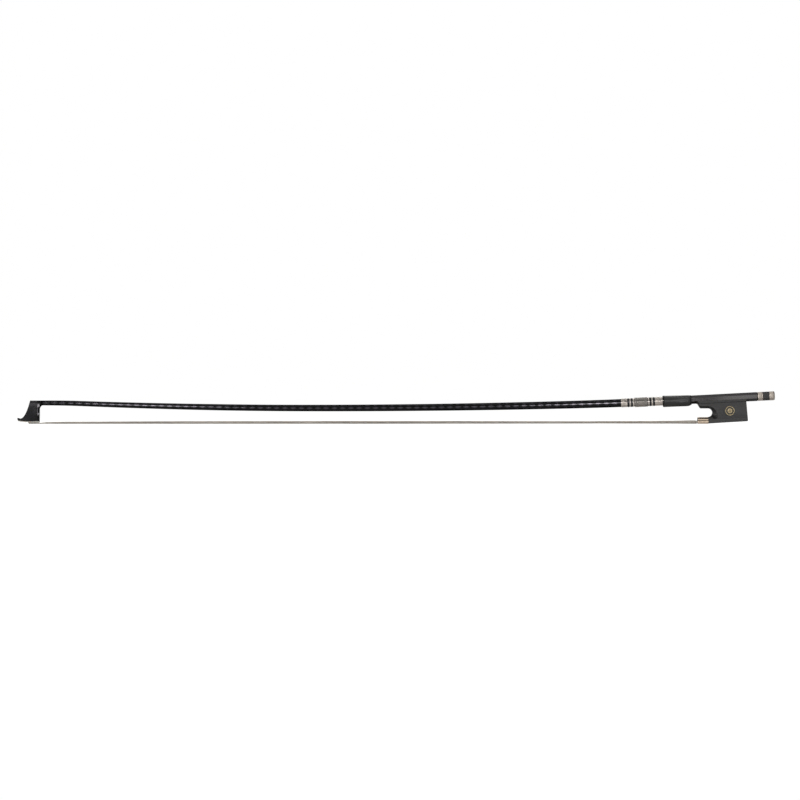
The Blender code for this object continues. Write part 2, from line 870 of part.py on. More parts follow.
def make_hair_ribbon(parts, guides):
    """The free hair: rows of straight strands, all fused to a slice where they leave the head."""
    start = HAIR_EXIT_X + SEATED
    end = FERRULE_X - SEATED
    low = SEATED
    high = FERRULE_WALL + SEATED
    strands = bpy.data.curves.new("hair_ribbon", "CURVE")
    strands.dimensions = "3D"
    strands.bevel_depth = HAIR_SIZE / 2
    strands.bevel_resolution = 0
    strands.use_fill_caps = True
    for row in range(HAIR_ROWS):
        lift = HAIR_SIZE / 2 + (HAIR_THICKNESS - HAIR_SIZE) * row / (HAIR_ROWS - 1)
        for column in range(HAIRS_PER_ROW):
            spline = strands.splines.new("POLY")
            spline.points.add(1)
            near = across_ribbon(HAIR_WIDTH_AT_HEAD, column)
            far = across_ribbon(HAIR_WIDTH_AT_FROG, column)
            spline.points[0].co = (start + HAIR_BINDING / 2, near, low + lift, 1.0)
            spline.points[1].co = (end, far, high + lift, 1.0)
    ribbon = place("hair_ribbon", meshed(strands), horsehair(), parts)
    margin = SEATED / 2
    binding = box_mesh(
        "hair_binding",
        (start, -HAIR_WIDTH_AT_HEAD / 2 - margin, low - margin),
        (start + HAIR_BINDING, HAIR_WIDTH_AT_HEAD / 2 + margin, low + HAIR_THICKNESS + margin),
    )
    join(ribbon, cutter("hair_binding", binding, guides), "UNION")


def sleeve_mesh(name, stations, low, high):
    """A sleeve round the stick through stations, between two heights over its surface."""
    inner = [stick_ring(x, low) for x in stations]
    outer = [stick_ring(x, high) for x in reversed(stations)]
    return loft_mesh(name, inner + outer, closed=True)


def make_winding(parts):
    """Wire and thread wound in turns: bands of each, and a zone where the two alternate."""
    for index, (kind, start, width) in enumerate(winding_bands(), 1):
        name = f"winding_{index:02d}"
        stations = [start + GLUED] + band_stations(start, width)[1:]
        if kind == "mixed":
            core = sleeve_mesh(f"{name}_core", stations, GLUED, GLUED + THREAD_THICKNESS)
            smooth(place(f"{name}_core", core, black_thread(), parts))
            make_wire(f"{name}_wire", start, width, parts)
        else:
            surface = silver_wire() if kind == "silver" else black_thread()
            band = sleeve_mesh(f"{name}_{kind}", stations, GLUED, WINDING_THICKNESS)
            smooth(place(f"{name}_{kind}", band, surface, parts))


def make_wire(name, x, width, parts):
    """One unbroken wire in turns over the thread. Its least gap to itself is printed."""
    lift = 2 * GLUED + THREAD_THICKNESS + WIRE_DIAMETER / 2
    turns = MIXED_TURNS
    total = turns * POINTS_PER_TURN
    run = width - 2 * WIRE_DIAMETER
    points = []
    for index in range(total + 1):
        at = x + WIRE_DIAMETER + run * index / total
        height, slope = centre_line(at)
        angle = 2 * pi * index / POINTS_PER_TURN
        reach = half_thickness(at) * round_stretch() + lift
        points.append(Vector((at, reach * cos(angle), height + reach * sin(angle))))
    curve = bpy.data.curves.new(name, "CURVE")
    curve.dimensions = "3D"
    curve.bevel_depth = WIRE_DIAMETER / 2
    curve.bevel_resolution = 1
    curve.use_fill_caps = True
    spline = curve.splines.new("POLY")
    spline.points.add(total)
    for point, place_at in zip(spline.points, points):
        point.co = (*place_at, 1.0)
    half_turn = POINTS_PER_TURN // 2
    near = min(
        (point - other).length
        for index, point in enumerate(points)
        for other in points[index + half_turn : index + 4 * half_turn]
    )
    gap = (near - WIRE_DIAMETER) * 1000
    print(f"{name}: least gap to itself {gap:.2f} mm, at a pitch of {run / turns * 1000:.2f} mm")
    place(name, meshed(curve), silver_wire(), parts)


def leather_thickness(x, angle):
    """Thin on top, thick under the thumb, rounded at one end and skived off at the other."""
    start = LEATHER_START_X + SEATED
    share = (x - start) / LEATHER_LENGTH
    under = (1 - sin(angle)) / 2
    top = LEATHER_THICKNESS + (LEATHER_TOP_EDGE - LEATHER_THICKNESS) * share
    thumb = LEATHER_THICKNESS + (LEATHER_THUMB_THICKNESS - LEATHER_THICKNESS) * share
    rounding = 0.55 + 0.45 * min((x - start) / LEATHER_ROUNDING, 1.0) ** 0.5
    skiving = 0.3 + 0.7 * min((LEATHER_END_X - x) / LEATHER_BEVEL, 1.0)
    return (top + (thumb - top) * under) * min(rounding, skiving)


def make_leather(parts):
    """The thumb leather, wrapped round the stick between the winding and the frog."""
    start = LEATHER_START_X + SEATED
    stations = sorted(
        (
            start,
            start + LEATHER_ROUNDING / 3,
            start + LEATHER_ROUNDING,
            OCTAGON_X,
            OCTAGON_X + ROUND_TO_OCTAGON,
            LEATHER_END_X - LEATHER_BEVEL,
            LEATHER_END_X - LEATHER_BEVEL / 3,
            LEATHER_END_X,
        )
    )
    inner = [stick_ring(x, GLUED) for x in stations]
    outer = [
        [on_stick(x, angle, GLUED + leather_thickness(x, angle)) for angle in ring_angles()]
        for x in reversed(stations)
    ]
    data = loft_mesh("thumb_leather", inner + outer, closed=True)
    smooth(place("thumb_leather", data, black_leather(), parts))


def frog_half_width(depth):
    """Half the frog's width at a depth below the handle's axis."""
    rail = handle_side_depth() + FROG_RAIL_HEIGHT
    if depth <= rail:
        return FROG_TOP_WIDTH / 2
    below = rail + FROG_RAIL_STEP
    if depth <= below:
        share = (depth - rail) / FROG_RAIL_STEP
        return (FROG_TOP_WIDTH + (FROG_WAIST_WIDTH - FROG_TOP_WIDTH) * share) / 2
    share = min((depth - below) / (FROG_FLARE_DEPTH - below), 1.0)
    return (FROG_WAIST_WIDTH + (FROG_BASE_WIDTH - FROG_WAIST_WIDTH) * share**2.2) / 2


def handle_side_depth():
    """Depth below the axis at which the handle's side facet ends and the frog begins."""
    return BUTT_DIAMETER / 2 * tan(pi / 8) + GLUED


def frog_bottom(x):
    """Height of the frog's underside, which rises towards its heel."""
    share = (x - SHOULDER_X) / (HEEL_X - SHOULDER_X)
    return FROG_BASE_LIFT + (HEEL_RISE - FROG_BASE_LIFT) * share


def frog_outline():
    """The frog seen from its side: nose, top, heel, underside, shoulder and throat."""
    nose_x = FERRULE_X - NOSE_OVERHANG
    heel_top_x = HEEL_X - HEEL_SLANT
    drop = handle_side_depth()
    throat_floor = FERRULE_HEIGHT + SEATED
    radius = (THROAT_ROOF - throat_floor) / 2
    centre_z = throat_floor + radius
    nose_bottom_x = nose_x + NOSE_SLANT
    slant = NOSE_SLANT / (handle_height(nose_x) - drop - THROAT_ROOF)
    heel_slant = HEEL_SLANT / (handle_height(heel_top_x) - drop - HEEL_RISE)
    above = drop + TRIM_HEIGHT
    points = [
        (nose_x - slant * above, handle_height(nose_x) + TRIM_HEIGHT),
        (heel_top_x - heel_slant * above, handle_height(heel_top_x) + TRIM_HEIGHT),
        (HEEL_X - heel_slant * HEEL_CORNER, HEEL_RISE + HEEL_CORNER),
        (HEEL_X - HEEL_CORNER, frog_bottom(HEEL_X - HEEL_CORNER)),
        (SHOULDER_X, frog_bottom(SHOULDER_X)),
    ]
    for index in range(THROAT_STEPS + 1):
        angle = -pi / 2 + pi * index / THROAT_STEPS
        points.append((SHOULDER_X + radius * cos(angle), centre_z + radius * sin(angle)))
    points += [
        (nose_bottom_x + 0.6 * NOSE_CORNER, THROAT_ROOF),
        (nose_bottom_x - slant * NOSE_CORNER, THROAT_ROOF + NOSE_CORNER),
    ]
    return points


def frog_section_mesh():
    """The frog seen from its end, drawn along the handle: rails, hollow sides and wide base."""
    half = [(0.0, FROG_TOP_WIDTH / 2)]
    rail = handle_side_depth() + FROG_RAIL_HEIGHT
    half += [(rail, frog_half_width(rail)), (rail + FROG_RAIL_STEP, FROG_WAIST_WIDTH / 2)]
    flare_steps = 7
    start = rail + FROG_RAIL_STEP
    for index in range(1, flare_steps + 1):
        depth = start + (FROG_FLARE_DEPTH - start) * index / flare_steps
        half.append((depth, frog_half_width(depth)))
    half.append((2 * FROG_AXIS_HEIGHT, FROG_BASE_WIDTH / 2))
    outline = half + [(depth, -width) for depth, width in reversed(half)]
    return outline_mesh("frog_section", [outline], 2 * FROG_LENGTH)


def make_frog_body(parts, guides, frog, handle):
    data = side_profile("frog_body", frog_outline(), 1.2 * FROG_BASE_WIDTH)
    body = place("frog_body", data, ebony(), parts, frog)
    section = cutter("frog_section", frog_section_mesh(), guides)
    section.parent = handle
    section.location = (0, 0, -FROG_LENGTH / 2 - FROG_FROM_BUTT)
    join(body, section, "INTERSECT")
    bevel = body.modifiers.new("edges", "BEVEL")
    bevel.limit_method = "ANGLE"
    bevel.angle_limit = radians(48)
    bevel.width = FROG_BEVEL
    bevel.segments = 1
    bevel.use_clamp_overlap = False
    trim = box_mesh(
        "rail_trim",
        (-2 * BUTT_DIAMETER, -FROG_BASE_WIDTH, -2 * FROG_LENGTH),
        (handle_side_depth(), FROG_BASE_WIDTH, 0.0),
    )
    trim_cutter = cutter("rail_trim", trim, guides)
    trim_cutter.parent = handle
    join(body, trim_cutter, "DIFFERENCE")
    tongue = outline_mesh("tongue", [ferrule_outline(FERRULE_WALL + SEATED, tongue_bottom())], 1.0)
    stretch_along_x(tongue, FERRULE_X + 2 * SEATED, SHOULDER_X + TONGUE_ROOT)
    join(body, cutter("tongue", tongue, guides, frog), "UNION")
    ends = (FERRULE_X - NOSE_SLANT, HEEL_X + NOSE_SLANT)
    channel = loft_mesh("handle_channel", [stick_ring(x, LINED_GAP) for x in ends])
    join(body, cutter("handle_channel", channel, guides, frog), "DIFFERENCE")
    for name, mesh in frog_pockets():
        join(body, cutter(name, mesh, guides, frog), "DIFFERENCE")
    hole_radius = EYELET_SHANK_DIAMETER / 2 + SEATED
    hole = rod_mesh("eyelet_hole", hole_radius, 0, EYELET_SHANK_DEPTH + 2 * SEATED)
    hole.transform(Matrix.Rotation(radians(90), 4, "Y"))
    hole_cutter = cutter("eyelet_hole", hole, guides)
    hole_cutter.parent = handle
    hole_cutter.location = (0, 0, eyelet_from_butt())
    join(body, hole_cutter, "DIFFERENCE")
    return body


def tongue_bottom():
    return WEDGE_TOP + SEATED


def stretch_along_x(data, start, end):
    """Turns an outline drawn in Y and Z into a prism from start to end along X."""
    for vert in data.vertices:
        across, up, along = vert.co
        vert.co = (start if along < 0 else end, across, up)
    data.flip_normals()
    work = bmesh.new()
    work.from_mesh(data)
    bmesh.ops.recalc_face_normals(work, faces=work.faces)
    work.to_mesh(data)
    work.free()


def ferrule_outline(inset, floor):
    """The D of the ferrule seen from its end, drawn in by inset and cut off below floor."""
    half = FROG_BASE_WIDTH / 2 - inset
    corner = max(FERRULE_CORNER - inset, 0.0002)
    top = FERRULE_HEIGHT - inset
    side = FERRULE_SIDE
    steps = 9
    arch = [
        (half * cos(pi * index / (2 * steps)), side + (top - side) * sin(pi * index / (2 * steps)))
        for index in range(steps + 1)
    ]
    if floor >= side:
        share = (floor - side) / (top - side)
        cut = [(half * (1 - share**2) ** 0.5, floor)]
        right = cut + [point for point in arch if point[1] > floor + 0.0001]
    else:
        corner_steps = 3
        rounding = [
            (
                half - corner + corner * sin(pi / 2 * index / corner_steps),
                floor + corner - corner * cos(pi / 2 * index / corner_steps),
            )
            for index in range(corner_steps + 1)
        ]
        right = rounding + arch
    left = [(-across, up) for across, up in reversed(right) if across > 1e-6]
    return right + left


def make_ferrule(parts, frog):
    outer = ferrule_outline(0.0, 0.0)
    inner = ferrule_outline(FERRULE_WALL, FERRULE_WALL)
    data = outline_mesh("ferrule", [outer, inner], 1.0)
    stretch_along_x(data, FERRULE_X, FERRULE_X + FERRULE_LENGTH)
    ferrule = place("ferrule", data, nickel_silver(), parts, frog)
    smooth(ferrule)


def slide_levels():
    """Depths into the frog's underside of the pearl's top, the backing's top and the hair."""
    pearl_top = PEARL_THICKNESS
    backing_bottom = pearl_top + GLUED
    backing_top = backing_bottom + BACKING_THICKNESS
    return pearl_top, backing_bottom, backing_top


def hair_route():
    """The hair in the frog: in at the ferrule, over the plug, and up the mortise's back wall."""
    mouth = FERRULE_X - SEATED / 2
    bend = FERRULE_X + HAIR_BEND_FROM_MOUTH
    over = SHOULDER_X
    corner = frog_mortise()[1] - SEATED
    level = slide_levels()[2] + SEATED
    knot_bottom = FROG_MORTISE_TOP - FROG_KNOT_DIAMETER - 2 * SEATED
    floor = FERRULE_WALL + SEATED
    return [
        (mouth, floor),
        (bend, floor),
        (over, frog_bottom(over) + level),
        (corner, frog_bottom(corner) + level),
        (corner, knot_bottom),
        (corner - HAIR_THICKNESS, knot_bottom),
        (corner - HAIR_THICKNESS, frog_bottom(corner) + level + HAIR_THICKNESS),
        (over, frog_bottom(over) + level + HAIR_THICKNESS),
        (bend, floor + HAIR_THICKNESS),
        (mouth, floor + HAIR_THICKNESS),
    ]


def frog_mortise():
    start = FERRULE_X + FROG_MORTISE_FROM_FERRULE
    return start, start + FROG_MORTISE_LENGTH


def frog_pockets():
    """Cutters for the mortise, the hair's way to it and the slide's dovetail."""
    start, end = frog_mortise()
    level = slide_levels()[2] + SEATED
    hair_top = level + HAIR_THICKNESS + SEATED
    ahead = FERRULE_X
    pocket = [
        (ahead, 0.0),
        (end, 0.0),
        (end, FROG_MORTISE_TOP),
        (start, FROG_MORTISE_TOP),
        (start, frog_bottom(start) + hair_top),
        (SHOULDER_X, frog_bottom(SHOULDER_X) + hair_top),
        (ahead, frog_bottom(SHOULDER_X) + hair_top - HAIR_WAY_DROP),
    ]
    mortise = side_profile("frog_mortise", pocket, FROG_MORTISE_WIDTH)
    dovetail = slide_mesh("slide_dovetail", -level, level - SEATED / 2, SEATED, SEATED)
    return [("frog_mortise", mortise), ("slide_dovetail", dovetail)]


def slide_mesh(name, low, high, sideways, endways):
    """A slice of the slide between two depths: wider inside, so that it can't fall out."""
    full = slide_levels()[2]

    def ring(x):
        points = []
        for depth, side in ((low, -1), (low, 1), (high, 1), (high, -1)):
            half = SLIDE_WIDTH / 2 + SLIDE_FLARE * depth / full + sideways
            points.append(Vector((x, side * half, frog_bottom(x) + depth)))
        return points

    front = SHOULDER_X - FERRULE_LENGTH * (endways > 0)
    end = SHOULDER_X + SLIDE_LENGTH + endways
    return loft_mesh(name, [ring(front), ring(end)])


def make_slide(parts, frog):
    pearl_top, backing_bottom, backing_top = slide_levels()
    inlay = slide_mesh("pearl_slide", 0.0, pearl_top, 0.0, 0.0)
    place("pearl_slide", inlay, pearl(), parts, frog)
    backing = slide_mesh("slide_backing", backing_bottom, backing_top, 0.0, 0.0)
    place("slide_backing", backing, ebony(), parts, frog)


def make_frog_hair(parts, frog):
    data = side_profile("hair_in_frog", hair_route(), FROG_MORTISE_WIDTH - 2 * SEATED)
    widen(
        data,
        FERRULE_X,
        HAIR_WIDTH_AT_FROG,
        SHOULDER_X,
        FROG_MORTISE_WIDTH - 2 * SEATED,
    )
    place("hair_in_frog", data, horsehair(), parts, frog)
    start, end = frog_mortise()
    inset = SEATED + FROG_KNOT_DIAMETER / 2
    knot_x, knot_z = end - inset, FROG_MORTISE_TOP - inset
    make_knot("frog_knot", FROG_MORTISE_WIDTH, FROG_KNOT_DIAMETER, knot_x, knot_z, parts, frog)
    top = FROG_MORTISE_TOP - FROG_KNOT_DIAMETER - 3 * SEATED
    level = slide_levels()[2] + HAIR_THICKNESS + 2 * SEATED
    back = end - 2 * SEATED - HAIR_THICKNESS
    front = start + SEATED
    plug = [
        (front, frog_bottom(front) + level),
        (back, frog_bottom(back) + level),
        (back, top),
        (front, top),
    ]
    data = side_profile("frog_plug", plug, FROG_MORTISE_WIDTH - 2 * SEATED)
    place("frog_plug", data, maple(), parts, frog)


def make_spread_wedge(parts, frog):
    """The wedge that spreads the hair flat against the ferrule's floor."""
    floor = FERRULE_WALL + 2.5 * SEATED + HAIR_THICKNESS
    bend = FERRULE_X + HAIR_BEND_FROM_MOUTH
    wedge_start = FERRULE_X + 2 * SEATED
    wedge_end = FERRULE_X + WEDGE_LENGTH
    lift = frog_bottom(SHOULDER_X) + slide_levels()[2] - FERRULE_WALL
    rise = lift * (wedge_end - bend) / (SHOULDER_X - bend)
    wedge = [
        (wedge_start, floor),
        (bend, floor),
        (wedge_end, floor + rise),
        (wedge_end, WEDGE_TOP),
        (wedge_start, WEDGE_TOP),
    ]
    data = side_profile("spread_wedge", wedge, HAIR_WIDTH_AT_FROG)
    place("spread_wedge", data, maple(), parts, frog)


def eye_frames(frog):
    """An empty on each side of the frog, with its Z standing out of the hollow side."""
    x = FERRULE_X + EYE_FROM_FERRULE
    depth = (handle_height(x) - EYE_HEIGHT) * cos(HANDLE_TILT)
    step = EYE_DOT_DIAMETER / 4
    flare = (frog_half_width(depth + step) - frog_half_width(depth - step)) / (2 * step)
    frames = []
    for name, side in (("left", -1), ("right", 1)):
        outward = Vector((0, side, flare)).normalized()
        frame = bpy.data.objects.new(f"eye_{name}_seat", None)
        bpy.context.scene.collection.objects.link(frame)
        frame.empty_display_size = 0.004
        frame.location = (x, side * frog_half_width(depth), EYE_HEIGHT)
        frame.rotation_mode = "QUATERNION"
        frame.rotation_quaternion = outward.to_track_quat("Z", "X")
        bpy.context.view_layer.update()
        frame.parent = frog
        frame.matrix_parent_inverse = frog.matrix_world.inverted()
        frames.append((name, frame))
    return frames


def make_eyes(parts, guides, frog, body):
    """The eyes: a metal ring and a pearl dot let into each side, with the frog's wood between."""
    outer = EYE_RING_DIAMETER / 2
    inner = outer - EYE_RING_WIDTH
    dot = EYE_DOT_DIAMETER / 2
    floor = EYE_PROUD - EYE_DEPTH
    above = 2 * EYE_DEPTH
    for name, seat in eye_frames(frog):
        ring = [(outer, EYE_PROUD), (outer, floor), (inner, floor), (inner, EYE_PROUD)]
        turned(f"eye_ring_{name}", ring, EYE_STEPS, nickel_silver(), parts, seat)
        disc = [(0.0, EYE_PROUD), (dot, EYE_PROUD), (dot, floor), (0.0, floor)]
        turned(f"eye_dot_{name}", disc, EYE_STEPS, pearl(), parts, seat)
        groove = [
            (outer + SEATED, above),
            (outer + SEATED, floor - SEATED),
            (inner - SEATED, floor - SEATED),
            (inner - SEATED, above),
        ]
        pocket = [
            (0.0, above),
            (dot + SEATED, above),
            (dot + SEATED, floor - SEATED),
            (0.0, floor - SEATED),
        ]
        for label, profile in (("groove", groove), ("pocket", pocket)):
            tool = turned(f"eye_{label}_{name}", profile, EYE_STEPS, None, guides, seat)
            tool.hide_render = True
            tool.display_type = "WIRE"
            join(body, tool, "DIFFERENCE")


def make_underslide(parts, guides, frog, handle):
    """The metal lining between frog and handle: three facets, with the eyelet's hole."""
    start = FERRULE_X - NOSE_OVERHANG + UNDERSLIDE_SETBACK
    end = HEEL_X - HEEL_SLANT - UNDERSLIDE_SETBACK
    corners = [pi + pi / 8 + index * pi / 4 for index in range(4)]
    lines = [[on_stick(x, angle, SLIDING) for angle in corners] for x in (start, end)]

    def build(work):
        first, second = [[work.verts.new(point) for point in line] for line in lines]
        for index in range(len(first) - 1):
            work.faces.new((first[index], first[index + 1], second[index + 1], second[index]))

    data = mesh_of("underslide", build, solid=False)
    made = place("underslide", data, nickel_silver(), parts, frog)
    shell = made.modifiers.new("shell", "SOLIDIFY")
    shell.thickness = UNDERSLIDE_THICKNESS
    shell.use_even_offset = True
    shell.offset = 1.0
    hole_radius = EYELET_SHANK_DIAMETER / 2 + 2 * SEATED
    hole = rod_mesh("underslide_hole", hole_radius, 0, 2 * BUTT_DIAMETER)
    hole.transform(Matrix.Rotation(radians(90), 4, "Y"))
    hole_cutter = cutter("underslide_hole", hole, guides)
    hole_cutter.parent = handle
    hole_cutter.location = (0, 0, eyelet_from_butt())
    join(made, hole_cutter, "DIFFERENCE")


def eyelet_from_butt():
    """Where the eyelet stands on the handle's axis, from the handle's end."""
    return (FERRULE_X + EYELET_FROM_FERRULE - BUTT_X) / cos(HANDLE_TILT)


def eyelet_head_top():
    return SCREW_DIAMETER / 2 + EYELET_WALL


def make_eyelet(parts, guides, eyelet_seat):
    """The eyelet: a head round the screw, inside the handle, and a shank down into the frog."""
    x = FERRULE_X + EYELET_FROM_FERRULE
    head_bottom = half_thickness(x) - RUNNING
    data = box_mesh(
        "eyelet",
        (-eyelet_head_top(), -EYELET_WIDTH / 2, -EYELET_LENGTH / 2),
        (head_bottom, EYELET_WIDTH / 2, EYELET_LENGTH / 2),
    )
    eyelet = place("eyelet", data, brass(), parts)
    eyelet.parent = eyelet_seat
    shank_top = head_bottom - EYELET_WALL
    shank = rod_mesh("eyelet_shank", EYELET_SHANK_DIAMETER / 2, shank_top, EYELET_SHANK_DEPTH)
    shank.transform(Matrix.Rotation(radians(90), 4, "Y"))
    shank_joined = cutter("eyelet_shank", shank, guides)
    shank_joined.parent = eyelet_seat
    join(eyelet, shank_joined, "UNION")
    bore = rod_mesh("eyelet_bore", SCREW_DIAMETER / 2 + RUNNING, -EYELET_LENGTH, EYELET_LENGTH)
    bore_cutter = cutter("eyelet_bore", bore, guides)
    bore_cutter.parent = eyelet_seat
    join(eyelet, bore_cutter, "DIFFERENCE")


def flats(diameter):
    """Corner radius of an octagon with this distance across its flats."""
    return diameter / 2 / cos(pi / 8)


def make_screw(parts, screw_axis):
    """The screw and its three-part button, turned about the handle's axis."""
    collar_start = SEATED
    collar_end = collar_start + COLLAR_LENGTH
    core_start = collar_end + SEATED
    core_end = core_start + CORE_LENGTH
    cap_start = core_end + SEATED
    cap_end = cap_start + CAP_LENGTH
    shaft_end = cap_end - CAP_LENGTH / 4
    radius = SCREW_DIAMETER / 2
    tip = SCREW_TIP_DIAMETER / 2
    shaft = [
        (0.0, shaft_end),
        (radius, shaft_end),
        (radius, -SCREW_REACH + SCREW_TIP_LENGTH),
        (tip, -SCREW_REACH + SCREW_TIP_LENGTH - SCREW_SHOULDER),
        (tip, -SCREW_REACH),
        (0.0, -SCREW_REACH),
    ]
    smooth_turned("screw_shaft", shaft, 16, steel(), parts, screw_axis)
    wide = flats(BUTTON_DIAMETER)
    narrow = flats(CORE_DIAMETER)
    hole = flats(SCREW_DIAMETER + 2 * SEATED)
    recess = flats(NIPPLE_DIAMETER + 4 * SEATED)
    bead = COLLAR_BEAD
    collar = [
        (wide - BUTTON_EDGE, collar_end),
        (wide, collar_end - bead * 0.3),
        (wide, collar_end - bead),
        (wide - COLLAR_GROOVE, collar_end - bead * 1.3),
        (wide - BUTTON_EDGE, collar_end - bead * 1.8),
        (wide - BUTTON_EDGE, collar_start + BUTTON_CHAMFER),
        (wide - BUTTON_CHAMFER, collar_start),
        (recess, collar_start),
        (recess, collar_start + NIPPLE_LENGTH + 2 * SEATED),
        (hole, collar_start + NIPPLE_LENGTH + 2 * SEATED),
        (hole, collar_end),
    ]
    turned("button_collar", collar, 8, nickel_silver(), parts, screw_axis)
    core = [
        (narrow - CORE_EDGE, core_end),
        (narrow, core_end - CORE_EDGE),
        (narrow, core_start + CORE_EDGE),
        (narrow - CORE_EDGE, core_start),
        (hole, core_start),
        (hole, core_end),
    ]
    turned("button_core", core, 8, ebony(), parts, screw_axis)
    blind = shaft_end + SEATED
    cap = [
        (0.0, cap_end),
        (wide - CAP_ROUNDING, cap_end),
        (wide - 0.45 * CAP_ROUNDING, cap_end - 0.25 * CAP_ROUNDING),
        (wide - 0.1 * CAP_ROUNDING, cap_end - CAP_ROUNDING),
        (wide, cap_end - 1.8 * CAP_ROUNDING),
        (wide, cap_start + BUTTON_EDGE),
        (wide - BUTTON_EDGE, cap_start),
        (hole, cap_start),
        (hole, blind),
        (0.0, blind),
    ]
    turned("button_cap", cap, 8, nickel_silver(), parts, screw_axis)


def smooth_turned(name, profile, steps, surface, parts, parent):
    made = turned(name, profile, steps, surface, parts, parent)
    made.modifiers["turn"].use_smooth_shade = True
    return made


def main():
    empty_scene()
    parts = new_collection("violin_bow")
    guides = new_collection("cutters")
    butt = (BUTT_X, 0, handle_height(BUTT_X))
    handle = axis_empty("handle_axis", butt, guides)
    screw_axis = axis_empty("screw_axis", butt, parts)
    eyelet_x = FERRULE_X + EYELET_FROM_FERRULE
    frog = axis_empty("frog_slide_axis", (eyelet_x, 0, handle_height(eyelet_x)), parts)
    make_stick(parts, guides, handle)
    face_strip("tip_liner", LINER_BOTTOM, TIP_LINER_THICKNESS, ebony(), parts, guides)
    face_strip("tip_plate", PLATE_BOTTOM, TIP_PLATE_THICKNESS, bone(), parts, guides)
    make_head_hair(parts)
    make_head_knot(parts)
    make_head_plug(parts)
    make_hair_ribbon(parts, guides)
    make_winding(parts)
    make_leather(parts)
    body = make_frog_body(parts, guides, frog, handle)
    make_eyes(parts, guides, frog, body)
    make_ferrule(parts, frog)
    make_slide(parts, frog)
    make_frog_hair(parts, frog)
    make_spread_wedge(parts, frog)
    make_underslide(parts, guides, frog, handle)
    make_eyelet(parts, guides, frog)
    make_screw(parts, screw_axis)


main()
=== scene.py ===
import random
from math import cos, hypot, pi, radians, sin, tan

import bmesh
import bpy
from mathutils import Matrix, Vector


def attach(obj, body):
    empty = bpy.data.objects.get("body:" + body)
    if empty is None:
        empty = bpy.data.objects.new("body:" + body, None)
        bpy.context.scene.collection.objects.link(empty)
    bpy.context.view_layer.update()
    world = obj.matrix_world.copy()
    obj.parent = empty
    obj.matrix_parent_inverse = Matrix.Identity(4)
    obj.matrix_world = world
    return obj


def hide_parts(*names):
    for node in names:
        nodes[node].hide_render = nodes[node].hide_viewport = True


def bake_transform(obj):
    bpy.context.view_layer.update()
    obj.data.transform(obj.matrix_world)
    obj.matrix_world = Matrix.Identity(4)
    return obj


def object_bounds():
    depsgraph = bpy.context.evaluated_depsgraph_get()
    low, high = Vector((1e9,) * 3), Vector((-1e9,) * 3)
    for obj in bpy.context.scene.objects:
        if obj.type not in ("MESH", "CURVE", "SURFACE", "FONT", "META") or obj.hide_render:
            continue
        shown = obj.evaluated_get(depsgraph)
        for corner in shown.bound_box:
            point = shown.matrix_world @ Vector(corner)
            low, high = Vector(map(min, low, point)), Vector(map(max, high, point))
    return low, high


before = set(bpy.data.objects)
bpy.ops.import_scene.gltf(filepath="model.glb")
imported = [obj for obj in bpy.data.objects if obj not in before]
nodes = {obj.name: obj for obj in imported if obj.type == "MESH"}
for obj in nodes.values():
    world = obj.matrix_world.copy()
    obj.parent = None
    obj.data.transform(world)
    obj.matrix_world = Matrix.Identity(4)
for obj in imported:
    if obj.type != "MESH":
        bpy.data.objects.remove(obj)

cad_low, cad_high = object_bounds()

# The photograph: 800 pixels wide, level from the side
PHOTO_WIDTH = 800
METRES_PER_PIXEL = 0.0009836
BEAK_PIXEL = 17.4
REST_PIXEL = 423.8
LENS = 200.0
SENSOR = 36.0

# Clearances between pieces
GLUED = 0.00004
SEATED = 0.0001
FLOOR_GAP = 0.0001
SLIDING = 0.00009
RUNNING = 0.00015

# Overall places
OVERALL_LENGTH = 0.745
HANDLE_TILT = radians(2.8)
BUTTON_DIAMETER = 0.0088
COLLAR_LENGTH = 0.0054
CORE_LENGTH = 0.0062
CAP_LENGTH = 0.0054
CAP_ROUNDING = 0.0011
BUTTON_LENGTH = COLLAR_LENGTH + CORE_LENGTH + CAP_LENGTH + 3 * SEATED
CAP_END_RADIUS = BUTTON_DIAMETER / 2 - CAP_ROUNDING
BEAK_X = -OVERALL_LENGTH / 2
BUTT_X = -BEAK_X - BUTTON_LENGTH * cos(HANDLE_TILT) - CAP_END_RADIUS * sin(HANDLE_TILT)
FROG_FROM_BUTT = 0.0111
FROG_LENGTH = 0.0494
HEEL_SLANT = 0.0018
FERRULE_X = BUTT_X - FROG_FROM_BUTT + HEEL_SLANT - FROG_LENGTH
FERRULE_LENGTH = 0.0104
SHOULDER_X = FERRULE_X + FERRULE_LENGTH + SEATED
HEEL_X = FERRULE_X + FROG_LENGTH
LEATHER_END_X = BUTT_X - 0.0648
LEATHER_LENGTH = 0.0281
LEATHER_START_X = LEATHER_END_X - LEATHER_LENGTH
OCTAGON_X = LEATHER_START_X + 0.0112
ROUND_TO_OCTAGON = 0.008
STRAIGHT_X = BUTT_X - 0.108

# The stick's camber and thickness, in metres from the beak
HEAD_HEIGHT = 0.0229
HEAD_LENGTH = 0.022
TIP_DIAMETER = 0.0048
BUTT_DIAMETER = 0.00877
FROG_AXIS_HEIGHT = 0.02396
TIP_AXIS = HEAD_HEIGHT - TIP_DIAMETER / 2
CAMBER = (
    (BEAK_X + HEAD_LENGTH, TIP_AXIS, 0.0),
    (BEAK_X + 0.060, TIP_AXIS - 0.0005, -0.037),
    (BEAK_X + 0.290, 0.0155, 0.0),
    (BEAK_X + 0.515, 0.0181, 0.0235),
    (STRAIGHT_X, FROG_AXIS_HEIGHT + (STRAIGHT_X - FERRULE_X) * tan(HANDLE_TILT), tan(HANDLE_TILT)),
)
THICKNESSES = (
    (BEAK_X + HEAD_LENGTH, TIP_DIAMETER),
    (BEAK_X + 0.200, 0.0062),
    (BEAK_X + 0.400, 0.0068),
    (LEATHER_START_X, 0.0081),
    (BUTT_X, BUTT_DIAMETER),
)
